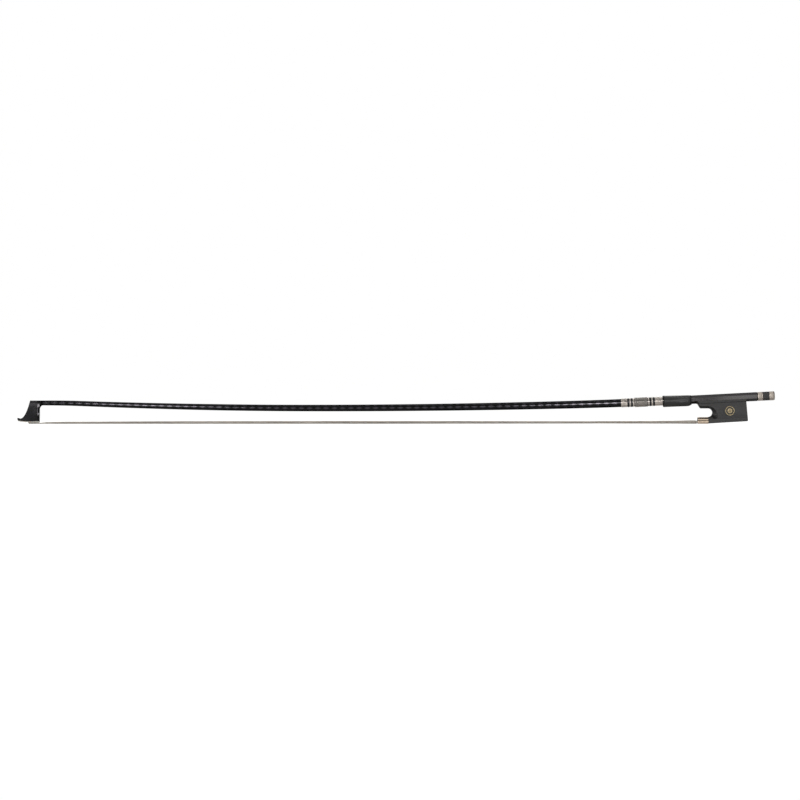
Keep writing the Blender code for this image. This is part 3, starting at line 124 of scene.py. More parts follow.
RING_POINTS = 72
NIPPLE_DIAMETER = 0.0054
NIPPLE_LENGTH = 0.0016

# The head
BEAK_TOP = 0.0059
LIP_HEIGHT = 0.0052
LIP_FROM_BEAK = 0.00305
BROW_FROM_BEAK = 0.0126
HEAD_WIDTH = 0.0104
BEAK_WIDTH = 0.0015
RIDGE_WIDTH = 0.0023
RIDGE_BEVEL = 0.0017
BACK_BEVEL = 0.0019
BACK_BEVEL_DEPTH = 0.0009
THROAT_LENGTH = 0.0039
THROAT_DROP = 0.0037
HAIR_FOLD = 0.00145
PLATE_BOTTOM = HAIR_FOLD + SEATED
PLATE_THICKNESS = 0.0007
LINER_BOTTOM = PLATE_BOTTOM + PLATE_THICKNESS + GLUED
LINER_THICKNESS = 0.00055
HEAD_BOTTOM = LINER_BOTTOM + LINER_THICKNESS + GLUED
PLATE_SETBACK = 0.0004
TIP_MORTISE_X = BEAK_X + 0.0107
TIP_MORTISE_LENGTH = 0.0069
TIP_MORTISE_WIDTH = 0.0058
TIP_MORTISE_TOP = HEAD_BOTTOM + 0.0070
HAIR_EXIT_X = BEAK_X + HEAD_LENGTH + 0.0004
HAIR_LEG = 0.00105

# The winding: kinds and widths of its bands from the head's end
WIRE_WIDTH = 0.00028
WINDING_THICKNESS = 0.0004
BANDS = (
    ("silver", 0.0065),
    ("black", 0.0017),
    ("silver", 0.0017),
    ("black", 0.0017),
    ("silver", 0.0017),
    ("mixed", 0.0132),
    ("silver", 0.0017),
    ("black", 0.0017),
    ("silver", 0.0017),
    ("black", 0.0017),
    ("silver", 0.0079),
)
WINDING_X = LEATHER_START_X - sum(width for _, width in BANDS)

# The hair
HAIR_COUNT = 230
HAIR_RADIUS = 0.00008
HAIR_WIDTH_AT_HEAD = 0.0076
HAIR_WIDTH_AT_FROG = 0.0104
HAIR_THICKNESS = 0.0009
HAIR_NEAR_HEAD = (0.003, 0.007, 0.014, 0.026, 0.045, 0.070)
HAIR_EVEN_X = HAIR_EXIT_X + 0.10
HAIR_NEAR_FERRULE = (0.03, 0.02, 0.012, 0.008, 0.005, 0.0032, 0.0018, 0.0008, 0.0)
HAIR_FULLNESS = (
    (0.0, 0.0), (0.004, 0.0006), (0.02, 0.0010), (0.157, 0.0016), (0.354, 0.0016), (0.55, 0.0012),
    (0.628, 0.0016), (0.638, 0.0020), (0.6445, 0.0020), (0.6458, 0.0015), (0.6464, 0.0007),
)
HAIR_DROP = (
    (0.0, 0.0), (0.014, 0.0001), (0.157, 0.0002), (0.354, 0.0003), (0.55, 0.0002), (0.63, 0.0004),
    (0.639, 0.00055), (0.6445, 0.00055), (0.6460, 0.0004), (0.6464, 0.0),
)

# The frog
FROG_TOP_WIDTH = 0.0103
FROG_WAIST_WIDTH = 0.0096
FROG_BASE_WIDTH = 0.0132
FROG_BASE_LIFT = 0.0003
FROG_RAIL_HEIGHT = 0.0022
FROG_RAIL_STEP = 0.0003
FROG_FLARE_DEPTH = 0.0210
NOSE_OVERHANG = 0.0015
NOSE_SLANT = 0.0040
NOSE_CORNER = 0.0010
HEEL_RISE = 0.0026
HEEL_CORNER = 0.0012
THROAT_ROOF = 0.0151
TRIM_HEIGHT = 0.002
FERRULE_HEIGHT = 0.0067
FERRULE_WALL = 0.0005
FERRULE_CORNER = 0.0009
FERRULE_SIDE = 0.0022
TONGUE_ROOT = 0.0012
WEDGE_TOP = 0.0029
HAIR_BEND_X = FERRULE_X + 0.0016
SLIDE_WIDTH = 0.0086
SLIDE_FLARE = 0.0005
SLIDE_LENGTH = 0.0345
SLIDE_LEVEL = 0.0008 + GLUED + 0.0008
FROG_MORTISE_X = FERRULE_X + 0.0154
FROG_MORTISE_END_X = FROG_MORTISE_X + 0.0081
FROG_MORTISE_WIDTH = 0.0082
FROG_MORTISE_TOP = 0.0103
FROG_KNOT_DIAMETER = 0.0017
EYELET_X = FERRULE_X + 0.0247
EYE_X = FERRULE_X + 0.0316
EYE_HEIGHT = 0.0128
EYE_RING_RADIUS = 0.0046
EYE_RING_WIDTH = 0.0008
EYE_DOT_RADIUS = 0.0027
EYE_DEPTH = 0.0009
EYE_PROUD = 0.00015


def make_camera():
    """A level camera at the photograph's angle, far off behind a long lens."""
    data = bpy.data.cameras.new("camera")
    data.lens = LENS
    data.sensor_width = SENSOR
    camera = bpy.data.objects.new("camera", data)
    bpy.context.scene.collection.objects.link(camera)
    half_view = PHOTO_WIDTH / 2 * METRES_PER_PIXEL
    distance = half_view / (SENSOR / 2 / LENS)
    x = cad_low.x + (PHOTO_WIDTH / 2 - BEAK_PIXEL) * METRES_PER_PIXEL
    z = (REST_PIXEL - PHOTO_WIDTH / 2) * METRES_PER_PIXEL
    camera.location = (x, -distance, z)
    camera.rotation_euler = (pi / 2, 0, 0)
    data.clip_end = 4 * distance
    bpy.context.scene.camera = camera


# Meshes


def mesh_of(name, build, angle=radians(30)):
    """A mesh made by a function that fills a bmesh, closed, facing out and shaded smooth."""
    work = bmesh.new()
    build(work)
    bmesh.ops.recalc_face_normals(work, faces=work.faces)
    data = bpy.data.meshes.new(name)
    work.to_mesh(data)
    work.free()
    return smoothed(data, angle)


def smoothed(data, angle=radians(30)):
    data.shade_smooth()
    data.set_sharp_from_angle(angle=angle)
    return data


def skin(work, rings, closed=False, along=None):
    """Faces through rings of points, with end caps or closed on itself. along gives each ring's
    place for a UV map that has the way round the ring across and that place up."""
    loops = [[work.verts.new(point) for point in ring] for ring in rings]
    uv = work.loops.layers.uv.new("braid") if along else None
    pairs = list(range(len(loops) - 1))
    if closed:
        pairs.append(len(loops) - 1)
    else:
        work.faces.new(list(reversed(loops[0])))
        work.faces.new(loops[-1])
    for row in pairs:
        first, second = loops[row], loops[(row + 1) % len(loops)]
        count = len(first)
        for index in range(count):
            after = (index + 1) % count
            face = work.faces.new((first[index], first[after], second[after], second[index]))
            if uv:
                corners = ((index, row), (index + 1, row), (index + 1, row + 1), (index, row + 1))
                for loop, (step, ring) in zip(face.loops, corners):
                    loop[uv].uv = (step / count, along[ring])


def loft(name, rings, closed=False, along=None, angle=radians(30)):
    return mesh_of(name, lambda work: skin(work, rings, closed, along), angle)


def box_mesh(name, low, high):
    def build(work):
        bmesh.ops.create_cube(work, size=1.0)
        for vert in work.verts:
            vert.co = Vector((a + (b - a) * (c + 0.5)) for a, b, c in zip(low, high, vert.co))

    return mesh_of(name, build)


def rod_mesh(name, radius, low, high, segments=48):
    """A cylinder along its own Z from low to high."""

    def build(work):
        bmesh.ops.create_cone(
            work, cap_ends=True, segments=segments, radius1=radius, radius2=radius, depth=high - low
        )
        bmesh.ops.translate(work, vec=(0, 0, (low + high) / 2), verts=work.verts)

    return mesh_of(name, build)


def prism_mesh(name, outlines, place):
    """A flat outline with any holes, stretched between two ends that place gives for a point."""
    curve = bpy.data.curves.new(name, "CURVE")
    curve.dimensions = "2D"
    curve.fill_mode = "BOTH"
    curve.extrude = 1.0
    for outline in outlines:
        spline = curve.splines.new("POLY")
        spline.points.add(len(outline) - 1)
        for point, (u, v) in zip(spline.points, outline):
            point.co = (u, v, 0.0, 1.0)
        spline.use_cyclic_u = True
    holder = bpy.data.objects.new(name, curve)
    bpy.context.scene.collection.objects.link(holder)
    graph = bpy.context.evaluated_depsgraph_get()
    data = bpy.data.meshes.new_from_object(holder.evaluated_get(graph))
    bpy.data.objects.remove(holder)
    work = bmesh.new()
    work.from_mesh(data)
    bmesh.ops.remove_doubles(work, verts=work.verts, dist=1e-7)
    bmesh.ops.dissolve_limit(work, angle_limit=radians(0.5), verts=work.verts, edges=work.edges)
    for vert in work.verts:
        vert.co = place(vert.co.x, vert.co.y, vert.co.z > 0)
    work.normal_update()
    bmesh.ops.recalc_face_normals(work, faces=work.faces)
    work.to_mesh(data)
    work.free()
    return smoothed(data)


def side_profile(name, outline, width):
    """An outline in X and Z, as wide as given across Y."""
    half = width / 2
    return prism_mesh(name, [outline], lambda u, v, far: Vector((u, half if far else -half, v)))


def end_profile(name, outlines, start, end):
    """Outlines in Y and Z, from start to end along X."""
    return prism_mesh(name, outlines, lambda u, v, far: Vector((end if far else start, u, v)))


def turned_mesh(name, profile, steps, angle=radians(30)):
    """A profile of (radius, height) points turned about Z. One that ends on the axis is capped."""

    def build(work):
        turn = [pi * (2 * index + 1) / steps for index in range(steps)]
        rings = [[Vector((r * cos(a), r * sin(a), h)) for a in turn] for r, h in profile if r > 0]
        skin(work, rings, closed=profile[0][0] > 0)

    return mesh_of(name, build, angle)


def piece(name, data, surface, body, *replaced, slot=None, matrix=None):
    """A piece of the bow, which rides on a body and stands for CAD nodes."""
    made = bpy.data.objects.new(name, data)
    bpy.context.scene.collection.objects.link(made)
    if matrix:
        data.transform(matrix)
    data.materials.clear()
    data.materials.append(surface)
    if body:
        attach(made, body)
    if replaced:
        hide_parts(*replaced)
    return made


def applied(made, angle=radians(30)):
    """Turns a piece's modifiers into its mesh."""
    graph = bpy.context.evaluated_depsgraph_get()
    data = bpy.data.meshes.new_from_object(
        made.evaluated_get(graph), preserve_all_data_layers=True, depsgraph=graph
    )
    made.modifiers.clear()
    made.data = smoothed(data, angle)


def weighted(made):
    """Keeps large faces flat, so that only the rounded edges between them bend the light."""
    step = made.modifiers.new("weight", "WEIGHTED_NORMAL")
    step.keep_sharp = True
    graph = bpy.context.evaluated_depsgraph_get()
    data = bpy.data.meshes.new_from_object(made.evaluated_get(graph))
    made.modifiers.clear()
    made.data = data


def carve(made, tools, operation="DIFFERENCE", angle=radians(30)):
    """Cuts a piece with meshes, or joins them to it."""
    holders = []
    for data in tools:
        holder = bpy.data.objects.new("tool", data)
        bpy.context.scene.collection.objects.link(holder)
        step = made.modifiers.new("cut", "BOOLEAN")
        step.operation = operation
        step.solver = "EXACT"
        step.object = holder
        holders.append(holder)
    applied(made, angle)
    for holder in holders:
        bpy.data.objects.remove(holder)


def handle_matrix(x):
    """Puts Z along the handle towards the button and X towards the hair, at a place on its axis."""
    turn = Matrix.Rotation(radians(90) - HANDLE_TILT, 4, "Y")
    return Matrix.Translation((x, 0, handle_height(x))) @ turn


# The stick


def handle_height(x):
    return FROG_AXIS_HEIGHT + (x - FERRULE_X) * tan(HANDLE_TILT)


def centre_line(x):
    """Height and slope of the stick's centre line."""
    if x <= CAMBER[0][0]:
        return TIP_AXIS, 0.0
    for (x0, z0, m0), (x1, z1, m1) in zip(CAMBER, CAMBER[1:]):
        if x <= x1:
            run = x1 - x0
            t = (x - x0) / run
            height = (2 * t**3 - 3 * t**2 + 1) * z0 + (t**3 - 2 * t**2 + t) * run * m0
            height += (3 * t**2 - 2 * t**3) * z1 + (t**3 - t**2) * run * m1
            slope = (6 * t**2 - 6 * t) * (z0 - z1) / run
            slope += (3 * t**2 - 4 * t + 1) * m0 + (3 * t**2 - 2 * t) * m1
            return height, slope
    return handle_height(x), tan(HANDLE_TILT)


def half_thickness(x):
    if x <= THICKNESSES[0][0]:
        return TIP_DIAMETER / 2
    for (x0, d0), (x1, d1) in zip(THICKNESSES, THICKNESSES[1:]):
        if x <= x1:
            return (d0 + (d1 - d0) * (x - x0) / (x1 - x0)) / 2
    return BUTT_DIAMETER / 2


def ring_angles(count=RING_POINTS):
    return [2 * pi * (index + 0.5) / count for index in range(count)]


def on_stick(x, angle, grow=0.0):
    """A point grow outside the stick's surface. Angle 90 degrees is the top."""
    height, slope = centre_line(x)
    octagon = min(max((x - OCTAGON_X) / ROUND_TO_OCTAGON, 0.0), 1.0)
    corner = 1 / cos((angle + pi / 8) % (pi / 4) - pi / 8)
    reach = (half_thickness(x) + grow) * (1.004 + octagon * (corner - 1.004))
    tilt = 1 / hypot(1.0, slope)
    up = Vector((-slope * tilt, 0.0, tilt))
    return Vector((x, 0.0, height)) + reach * (cos(angle) * Vector((0, 1, 0)) + sin(angle) * up)


def stick_ring(x, grow=0.0):
    return [on_stick(x, angle, grow) for angle in ring_angles()]


def face_half_width(distance):
    """Half the width of the head's face, at a distance from the beak."""
    share = min(max(distance / 0.016, 0.0), 1.0)
    return BEAK_WIDTH / 2 + (HEAD_WIDTH - BEAK_WIDTH) / 2 * sin(share * pi / 2) ** 1.1


def back_narrowing(distance):
    share = (distance - HEAD_LENGTH + BACK_BEVEL) / BACK_BEVEL
    return BACK_BEVEL_DEPTH * min(max(share, 0.0), 1.0)


def beak_rise(distance):
    return 0.00115 * max(0.0, 1 - distance / 0.011) ** 2


def front_height(distance):
    """Height of the head's front outline: the beak's lip and the hollow above it."""
    if distance <= LIP_FROM_BEAK:
        share = distance / LIP_FROM_BEAK
        return BEAK_TOP + (LIP_HEIGHT - BEAK_TOP) * share * share * (3 - 2 * share)
    share = min((distance - LIP_FROM_BEAK) / (BROW_FROM_BEAK - LIP_FROM_BEAK), 1.0)
    return LIP_HEIGHT + (HEAD_HEIGHT - LIP_HEIGHT) * share * share


def head_ring(distance):
    """A section of the head: flat ridge, bevels, hollow cheeks and flat face."""
    top = front_height(distance)
    bottom = HEAD_BOTTOM + beak_rise(distance)
    face = face_half_width(distance)
    crown = min(TIP_DIAMETER / 2, face * 0.85)
    ridge = min(RIDGE_WIDTH / 2, face * 0.6)
    bevel = min(RIDGE_BEVEL, (top - bottom) * 0.4)

    def cheek(height):
        share = (height - HEAD_BOTTOM) / (HEAD_HEIGHT - HEAD_BOTTOM)
        drawn_in = 1 - (1 - min(max(share, 0.0), 1.0)) ** 1.7
        return face + (crown - face) * drawn_in - back_narrowing(distance) * (1 - drawn_in)

    half = [(ridge * step / 3.5, top) for step in (0.5, 1.5, 2.5, 3.5)]
    shoulder = cheek(top - bevel)
    for step in range(1, 6):
        share = step / 6
        half.append((ridge + (shoulder - ridge) * share, top - bevel * share**1.8))
    edge = min(0.0003, (top - bottom) * 0.1)
    lowest = bottom + edge
    cheeks = 19
    for index in range(cheeks):
        height = top - bevel + (lowest - top + bevel) * index / (cheeks - 1)
        half.append((cheek(height), height))
    side = cheek(bottom)
    half += [(side - 0.25 * edge, bottom + 0.35 * edge), (side - 0.7 * edge, bottom)]
    inner = side - edge
    count = RING_POINTS // 2 - len(half)
    half += [(inner * (count - step - 0.5) / count, bottom) for step in range(count)]
    x = BEAK_X + distance
    first = [Vector((x, width, height)) for width, height in half]
    second = [Vector((x, -width, height)) for width, height in half]
    around = list(reversed(first)) + second
    quarter = RING_POINTS // 4
    return around[quarter:] + around[:quarter]


def throat_ring(distance):
    """A section of the stick just behind the head, drawn down to the throat's outline."""
    share = (distance - HEAD_LENGTH) / THROAT_LENGTH
    bottom = HEAD_HEIGHT - TIP_DIAMETER - THROAT_DROP * max(0.0, 1 - share) ** 3.2
    reach = TIP_DIAMETER / 2 * 1.004
    ring = []
    for angle in ring_angles():
        rise = reach * sin(angle)
        if rise < 0:
            rise *= (TIP_AXIS - bottom) / reach
        ring.append(Vector((BEAK_X + distance, reach * cos(angle), TIP_AXIS + rise)))
    return ring


def spread(start, end, count):
    """count places from start, without the end itself."""
    return [start + (end - start) * index / count for index in range(count)]


def stick_sections():
    """All rings of the stick with their places along it."""
    bevel = HEAD_LENGTH - BACK_BEVEL
    crisp = 0.00006
    head = spread(0.0, LIP_FROM_BEAK, 10) + spread(LIP_FROM_BEAK, BROW_FROM_BEAK - 0.0003, 26)
    head += [BROW_FROM_BEAK - 0.0003, BROW_FROM_BEAK - crisp, BROW_FROM_BEAK + crisp]
    head += spread(BROW_FROM_BEAK + 0.0003, bevel - 0.0003, 12) + [bevel - 0.0003]
    head += [bevel - crisp, bevel + crisp, bevel + 0.0003]
    head += spread(bevel + 0.0006, HEAD_LENGTH - 0.0002, 4) + [HEAD_LENGTH - 0.0002, HEAD_LENGTH]
    sections = [(distance, head_ring(distance)) for distance in head]
    throat = [HEAD_LENGTH + THROAT_LENGTH * (0.02 + 0.98 * (index / 18) ** 1.6) for index in range(19)]
    sections += [(distance, throat_ring(distance)) for distance in throat]
    start = BEAK_X + HEAD_LENGTH + THROAT_LENGTH
    places = spread(start + 0.002, WINDING_X, 150) + spread(WINDING_X, LEATHER_START_X, 14)
    places += spread(LEATHER_START_X, OCTAGON_X, 4) + spread(OCTAGON_X, OCTAGON_X + ROUND_TO_OCTAGON, 8)
    places += spread(OCTAGON_X + ROUND_TO_OCTAGON, BUTT_X - 0.0003, 20) + [BUTT_X - 0.0003]
    sections += [(x - BEAK_X, stick_ring(x)) for x in places]
    sections.append((BUTT_X - BEAK_X, stick_ring(BUTT_X, -0.00015)))
    along = Vector((cos(HANDLE_TILT), 0, sin(HANDLE_TILT)))
    up = Vector((-sin(HANDLE_TILT), 0, cos(HANDLE_TILT)))
    for radius, forward in ((0.0027, 0.0), (0.0027, 0.0014), (0.0025, NIPPLE_LENGTH)):
        centre = Vector((BUTT_X, 0, handle_height(BUTT_X))) + forward * along
        ring = [
            centre + radius * (cos(angle) * Vector((0, 1, 0)) + sin(angle) * up)
            for angle in ring_angles()
        ]
        sections.append((BUTT_X - BEAK_X + forward, ring))
    return sections


def make_stick(surface):
    sections = stick_sections()
    rings = [ring for _, ring in sections]
    places = [place for place, _ in sections]
    data = loft("carbon_stick", rings, along=places, angle=radians(24))
    stick = piece("carbon_stick", data, surface, "stick", "stick", slot="carbon_fibre")
    end = TIP_MORTISE_X + TIP_MORTISE_LENGTH
    half = TIP_MORTISE_WIDTH / 2
    mortise = box_mesh("mortise", (TIP_MORTISE_X, -half, 0.0), (end, half, TIP_MORTISE_TOP))
    handle = handle_matrix(BUTT_X)
    bore = rod_mesh("bore", 0.00145 + RUNNING, -0.052 - 2 * RUNNING, 2 * NIPPLE_LENGTH)
    bore.transform(handle)
    eyelet = (EYELET_X - BUTT_X) / cos(HANDLE_TILT)
    reach = 0.0023 + 2 * RUNNING
    slot = box_mesh(
        "eyelet_slot",
        (-0.00195 - 2 * RUNNING, -0.00195 - RUNNING, eyelet - reach - 0.0042),
        (BUTT_DIAMETER, 0.00195 + RUNNING, eyelet + reach + 0.0007),
    )
    slot.transform(handle)
    carve(stick, [mortise, bore, slot], angle=radians(24))
    weighted(stick)


def face_strip(name, low, thickness, surface, *replaced, slot):
    """A thin piece that follows the head's face, with the hair's mortise through it."""
    end = HEAD_LENGTH - BACK_BEVEL
    distances = spread(PLATE_SETBACK, end, 40) + spread(end, HEAD_LENGTH, 5) + [HEAD_LENGTH]
    soft = 0.2 * thickness
    rings = []
    for distance in distances:
        width = face_half_width(distance) - back_narrowing(distance) - 0.0001
        base = low + beak_rise(distance)
        corners = [
            (width - soft, base), (width, base + soft),
            (width, base + thickness - soft), (width - soft, base + thickness),
        ]
        ring = corners + [(-y, z) for y, z in reversed(corners)]
        rings.append([Vector((BEAK_X + distance, y, z)) for y, z in ring])
    made = piece(name, loft(name, rings), surface, "stick", *replaced, slot=slot)
    half = TIP_MORTISE_WIDTH / 2
    end = TIP_MORTISE_X + TIP_MORTISE_LENGTH
    carve(made, [box_mesh("hole", (TIP_MORTISE_X, -half, 0.0), (end, half, HEAD_HEIGHT))])


# The winding and the leather


def coil(name, start, end, turns, low, high, first=0.0, steps=36):
    """One unbroken wire wound on the stick in even turns, with an oval section."""
    half_width = WIRE_WIDTH / 2 * 0.98
    half_height = (high - low) / 2
    total = round(turns * steps)
    rings = []
    for index in range(total + 1):
        x = start + (end - start) * index / total
        angle = first + 2 * pi * index / steps
        middle = on_stick(x, angle, (low + high) / 2)
        out = (middle - on_stick(x, angle, low)).normalized()
        ring = []
        for corner in range(8):
            a = 2 * pi * corner / 8
            ring.append(middle + Vector((half_width * cos(a), 0, 0)) + half_height * sin(a) * out)
        rings.append(ring)
    return loft(name, rings, angle=radians(80))


def make_winding(silver, thread):
    x = WINDING_X
    for index, (kind, width) in enumerate(BANDS, 1):
        node = f"winding_{index:02d}"
        start, end = x + WIRE_WIDTH / 2 + GLUED, x + width - WIRE_WIDTH / 2
        x += width
        if kind == "mixed":
            pairs = round((end - start) / (2 * WIRE_WIDTH))
            shift = WIRE_WIDTH
            wire = coil("mixed_wire", start, end - shift, pairs, 0.0004, 0.0008)
            piece("mixed_wire", wire, silver, "stick", f"{node}_wire", slot="silver_wire")
            cord = coil("mixed_thread", start + shift, end, pairs, GLUED, 0.0007)
            piece("mixed_thread", cord, thread, "stick", f"{node}_core", slot="black_thread")
        else:
            turns = round((end - start) / WIRE_WIDTH)
            surface = silver if kind == "silver" else thread
            data = coil(f"{kind}_turns_{index:02d}", start, end, turns, GLUED, WINDING_THICKNESS)
            slot = "silver_wire" if kind == "silver" else "black_thread"
            piece(data.name, data, surface, "stick", f"{node}_{kind}", slot=slot)


def leather_thickness(x, angle):
    """Thin on top, thick under the thumb, rounded at one end and skived off at the other."""
    start = LEATHER_START_X + SEATED
    share = (x - start) / LEATHER_LENGTH
    under = (1 - sin(angle)) / 2
    top = 0.0012 + (0.0002 - 0.0012) * share
    thumb = 0.0019 + (0.0020 - 0.0019) * share
    near = min(max((x - start) / 0.0006, 0.0), 1.0)
    far = min(max((LEATHER_END_X - x) / 0.004, 0.0), 1.0)
    rounding = 0.55 + 0.45 * (1 - (1 - near) ** 2) ** 0.5
    skiving = 0.3 + 0.7 * sin(far * pi / 2) ** 0.9
    seam = 0.1 * max(0.0, 1 - abs(angle - radians(62)) / radians(3.5))
    return (top + (thumb - top) * under) * min(rounding, skiving) * (1 - seam)


def make_leather(surface, edge):
    start = LEATHER_START_X + SEATED
    stations = [start + 0.0006 * (index / 6) ** 2 for index in range(6)]
    stations += spread(start + 0.0006, LEATHER_END_X - 0.004, 30)
    stations += spread(LEATHER_END_X - 0.004, LEATHER_END_X, 16) + [LEATHER_END_X]
    inner = [stick_ring(x, GLUED) for x in stations]
    outer = [
        [on_stick(x, angle, GLUED + leather_thickness(x, angle)) for angle in ring_angles()]
        for x in reversed(stations)
    ]
    data = loft("leather_wrap", inner + outer, closed=True, angle=radians(50))
    wrap = piece("leather_wrap", data, surface, "stick", "thumb_leather", slot="black_leather")
    # The faces at both ends of the wrap take a near-black material: painted shade at the leather's rounded and
    # skived ends.
    wrap.data.materials.append(edge)
    for face in wrap.data.polygons:
        if face.center.x < start + 0.0011 or face.center.x > LEATHER_END_X - 0.0011:
            face.material_index = 1


# The hair


def along_path(points, step):
    """Points along a polyline of (low, high, half width) stations, close enough for smooth hairs."""
    dense = []
    for (a, b) in zip(points, points[1:]):
        length = max((b[0] - a[0]).length, (b[1] - a[1]).length)
        count = max(1, round(length / step))
        for index in range(count):
            share = index / count
            dense.append(tuple(p + (q - p) * share for p, q in zip(a, b)))
    dense.append(points[-1])
    return dense


def level_at(stops, place):
    """A value along (place, value) stops."""
    for (a, low), (b, high) in zip(stops, stops[1:]):
        if place <= b:
            return low + (high - low) * max(place - a, 0.0) / (b - a)
    return stops[-1][1]


def hair_stations():
    """The hair's whole way, from the head's knot to the frog's, as (low side, high side, half width).
    Both sides are places in X and Z, and the low one is the side that faces the string."""
    wall = TIP_MORTISE_X + SEATED
    inside = TIP_MORTISE_WIDTH / 2 - SEATED
    head_top = TIP_MORTISE_TOP - 0.0021 - 4 * SEATED
    corner = wall + HAIR_LEG
    exit_half = HAIR_WIDTH_AT_HEAD / 2
    stations = [(Vector((wall, head_top)), Vector((corner, head_top)), inside)]
    stations.append((Vector((wall, HAIR_FOLD + 0.0012)), Vector((corner, HAIR_FOLD + 0.0012)), inside))
    for index in range(7):
        turn = pi / 2 * index / 6
        low = Vector((wall + HAIR_FOLD * (1 - cos(turn)), HAIR_FOLD * (1 - sin(turn))))
        high = Vector((corner + 0.0006 * index / 6, HAIR_FOLD + 0.0004 * (1 - sin(turn))))
        stations.append((low, high, inside))
    flat = wall + 2 * HAIR_LEG + 0.0008
    stations.append((Vector((flat, 0.0)), Vector((flat, HAIR_FOLD)), inside + 0.0002))
    taper = HAIR_EXIT_X - 0.001
    stations.append((Vector((taper, 0.0)), Vector((taper, HAIR_FOLD)), exit_half - 0.0002))
    stations.append((Vector((HAIR_EXIT_X, 0.0)), Vector((HAIR_EXIT_X, HAIR_THICKNESS)), exit_half))
    end = FERRULE_X - SEATED / 2
    floor = FERRULE_WALL + SEATED
    for x in [HAIR_EXIT_X + step for step in HAIR_NEAR_HEAD] + spread(HAIR_EVEN_X, end - 0.03, 14) + [
        end - step for step in HAIR_NEAR_FERRULE
    ]:
        share = (x - HAIR_EXIT_X) / (end - HAIR_EXIT_X)
        low = SEATED + (floor - SEATED) * share
        rise, drop = level_at(HAIR_FULLNESS, x - HAIR_EXIT_X), level_at(HAIR_DROP, x - HAIR_EXIT_X)
        half = exit_half + (HAIR_WIDTH_AT_FROG / 2 - exit_half) * share
        stations.append((Vector((x, low - drop)), Vector((x, low + HAIR_THICKNESS + rise)), half))
    stations.append((Vector((HAIR_BEND_X, floor)), Vector((HAIR_BEND_X, floor + HAIR_THICKNESS)), half))
    inside = FROG_MORTISE_WIDTH / 2 - SEATED
    level = SLIDE_LEVEL + SEATED
    back = FROG_MORTISE_END_X - SEATED
    for x in (SHOULDER_X, back - HAIR_THICKNESS - 0.0006):
        low = frog_bottom(x) + level
        stations.append((Vector((x, low)), Vector((x, low + HAIR_THICKNESS)), inside))
    low = frog_bottom(back) + level
    for index in range(5):
        turn = pi / 2 * index / 4
        outer = Vector((back - 0.0006 + 0.0006 * sin(turn), low + 0.0006 * (1 - cos(turn))))
        inner = Vector((back - HAIR_THICKNESS, low + HAIR_THICKNESS + 0.0001 * index))
        stations.append((outer, inner, inside))
    top = FROG_MORTISE_TOP - FROG_KNOT_DIAMETER - 2 * SEATED
    stations.append((Vector((back, top)), Vector((back - HAIR_THICKNESS, top)), inside))
    return stations


def make_hair(surface):
    """Every hair as its own strand, all in one piece."""
    draw = random.Random(7)
    path = along_path(hair_stations(), 0.012)
    bodies = len(path)
    columns = 46
    verts, faces, tones = [], [], []
    for number in range(HAIR_COUNT):
        across = ((number % columns) + draw.uniform(0.15, 0.85)) / columns * 2 - 1
        layer = ((number // columns) + draw.uniform(0.2, 0.8)) / (HAIR_COUNT / columns)
        waves = [(draw.uniform(2, 9), draw.uniform(0, 2 * pi)) for _ in range(2)]
        size = HAIR_RADIUS * draw.uniform(0.85, 1.2)
        tone = draw.random()
        for index, (low, high, half) in enumerate(path):
            share = index / (bodies - 1)
            drift = [sin(2 * pi * speed * share + start) for speed, start in waves]
            side = min(max(across + 0.025 * drift[0], -1.0), 1.0) * (half - size)
            depth = min(max(layer + 0.10 * drift[1], 0.0), 1.0)
            line = high - low
            margin = size / max(line.length, 1e-6)
            middle = low + line * (margin + (1 - 2 * margin) * depth)
            ahead = path[min(index + 1, bodies - 1)]
            behind = path[max(index - 1, 0)]
            run = ((ahead[0] + ahead[1]) - (behind[0] + behind[1])).normalized()
            up = Vector((-run.y, 0.0, run.x)) * size
            centre = Vector((middle.x, side, middle.y))
            beside = Vector((0.0, size, 0.0))
            base = len(verts)
            verts += [centre + up, centre + beside, centre - up, centre - beside]
            if index:
                for corner in range(4):
                    after = (corner + 1) % 4
                    faces.append((base - 4 + corner, base + corner, base + after, base - 4 + after))
                    tones.append(tone)
            if index in (0, bodies - 1):
                cap = [base, base + 1, base + 2, base + 3]
                faces.append(cap if index else cap[::-1])
                tones.append(tone)
    data = bpy.data.meshes.new("hair_strands")
    data.from_pydata(verts, [], faces)
    shades = data.attributes.new("strand_tone", "FLOAT", "FACE")
    shades.data.foreach_set("value", tones)
    data.shade_smooth()
    made = piece(
        "hair_strands", data, surface, None, "hair_in_head", "hair_ribbon", "hair_in_frog",
        slot="horsehair",
    )
    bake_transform(made)


def make_knot(name, node, body, width, diameter, x, z, surface):
    """The hair's end, bound round with thread."""
    half = width / 2 - 0.0004
    radius = diameter / 2
    turns = round(2 * half / 0.00025)
    profile = [(0.0, -half)]
    for index in range(turns * 6 + 1):
        share = index / (turns * 6)
        dome = min(1.0, 12 * share, 12 * (1 - share)) ** 0.5
        ripple = 1 - 0.07 * (0.5 + 0.5 * cos(2 * pi * index / 6))
        profile.append((max(radius * ripple * (0.7 + 0.3 * dome), 1e-5), -half + 2 * half * share))
    profile.append((0.0, half))
    data = turned_mesh(name, profile, 32, angle=radians(60))
    place = Matrix.Translation((x, 0, z)) @ Matrix.Rotation(radians(90), 4, "X")
    piece(name, data, surface, body, node, slot="bound_hair", matrix=place)


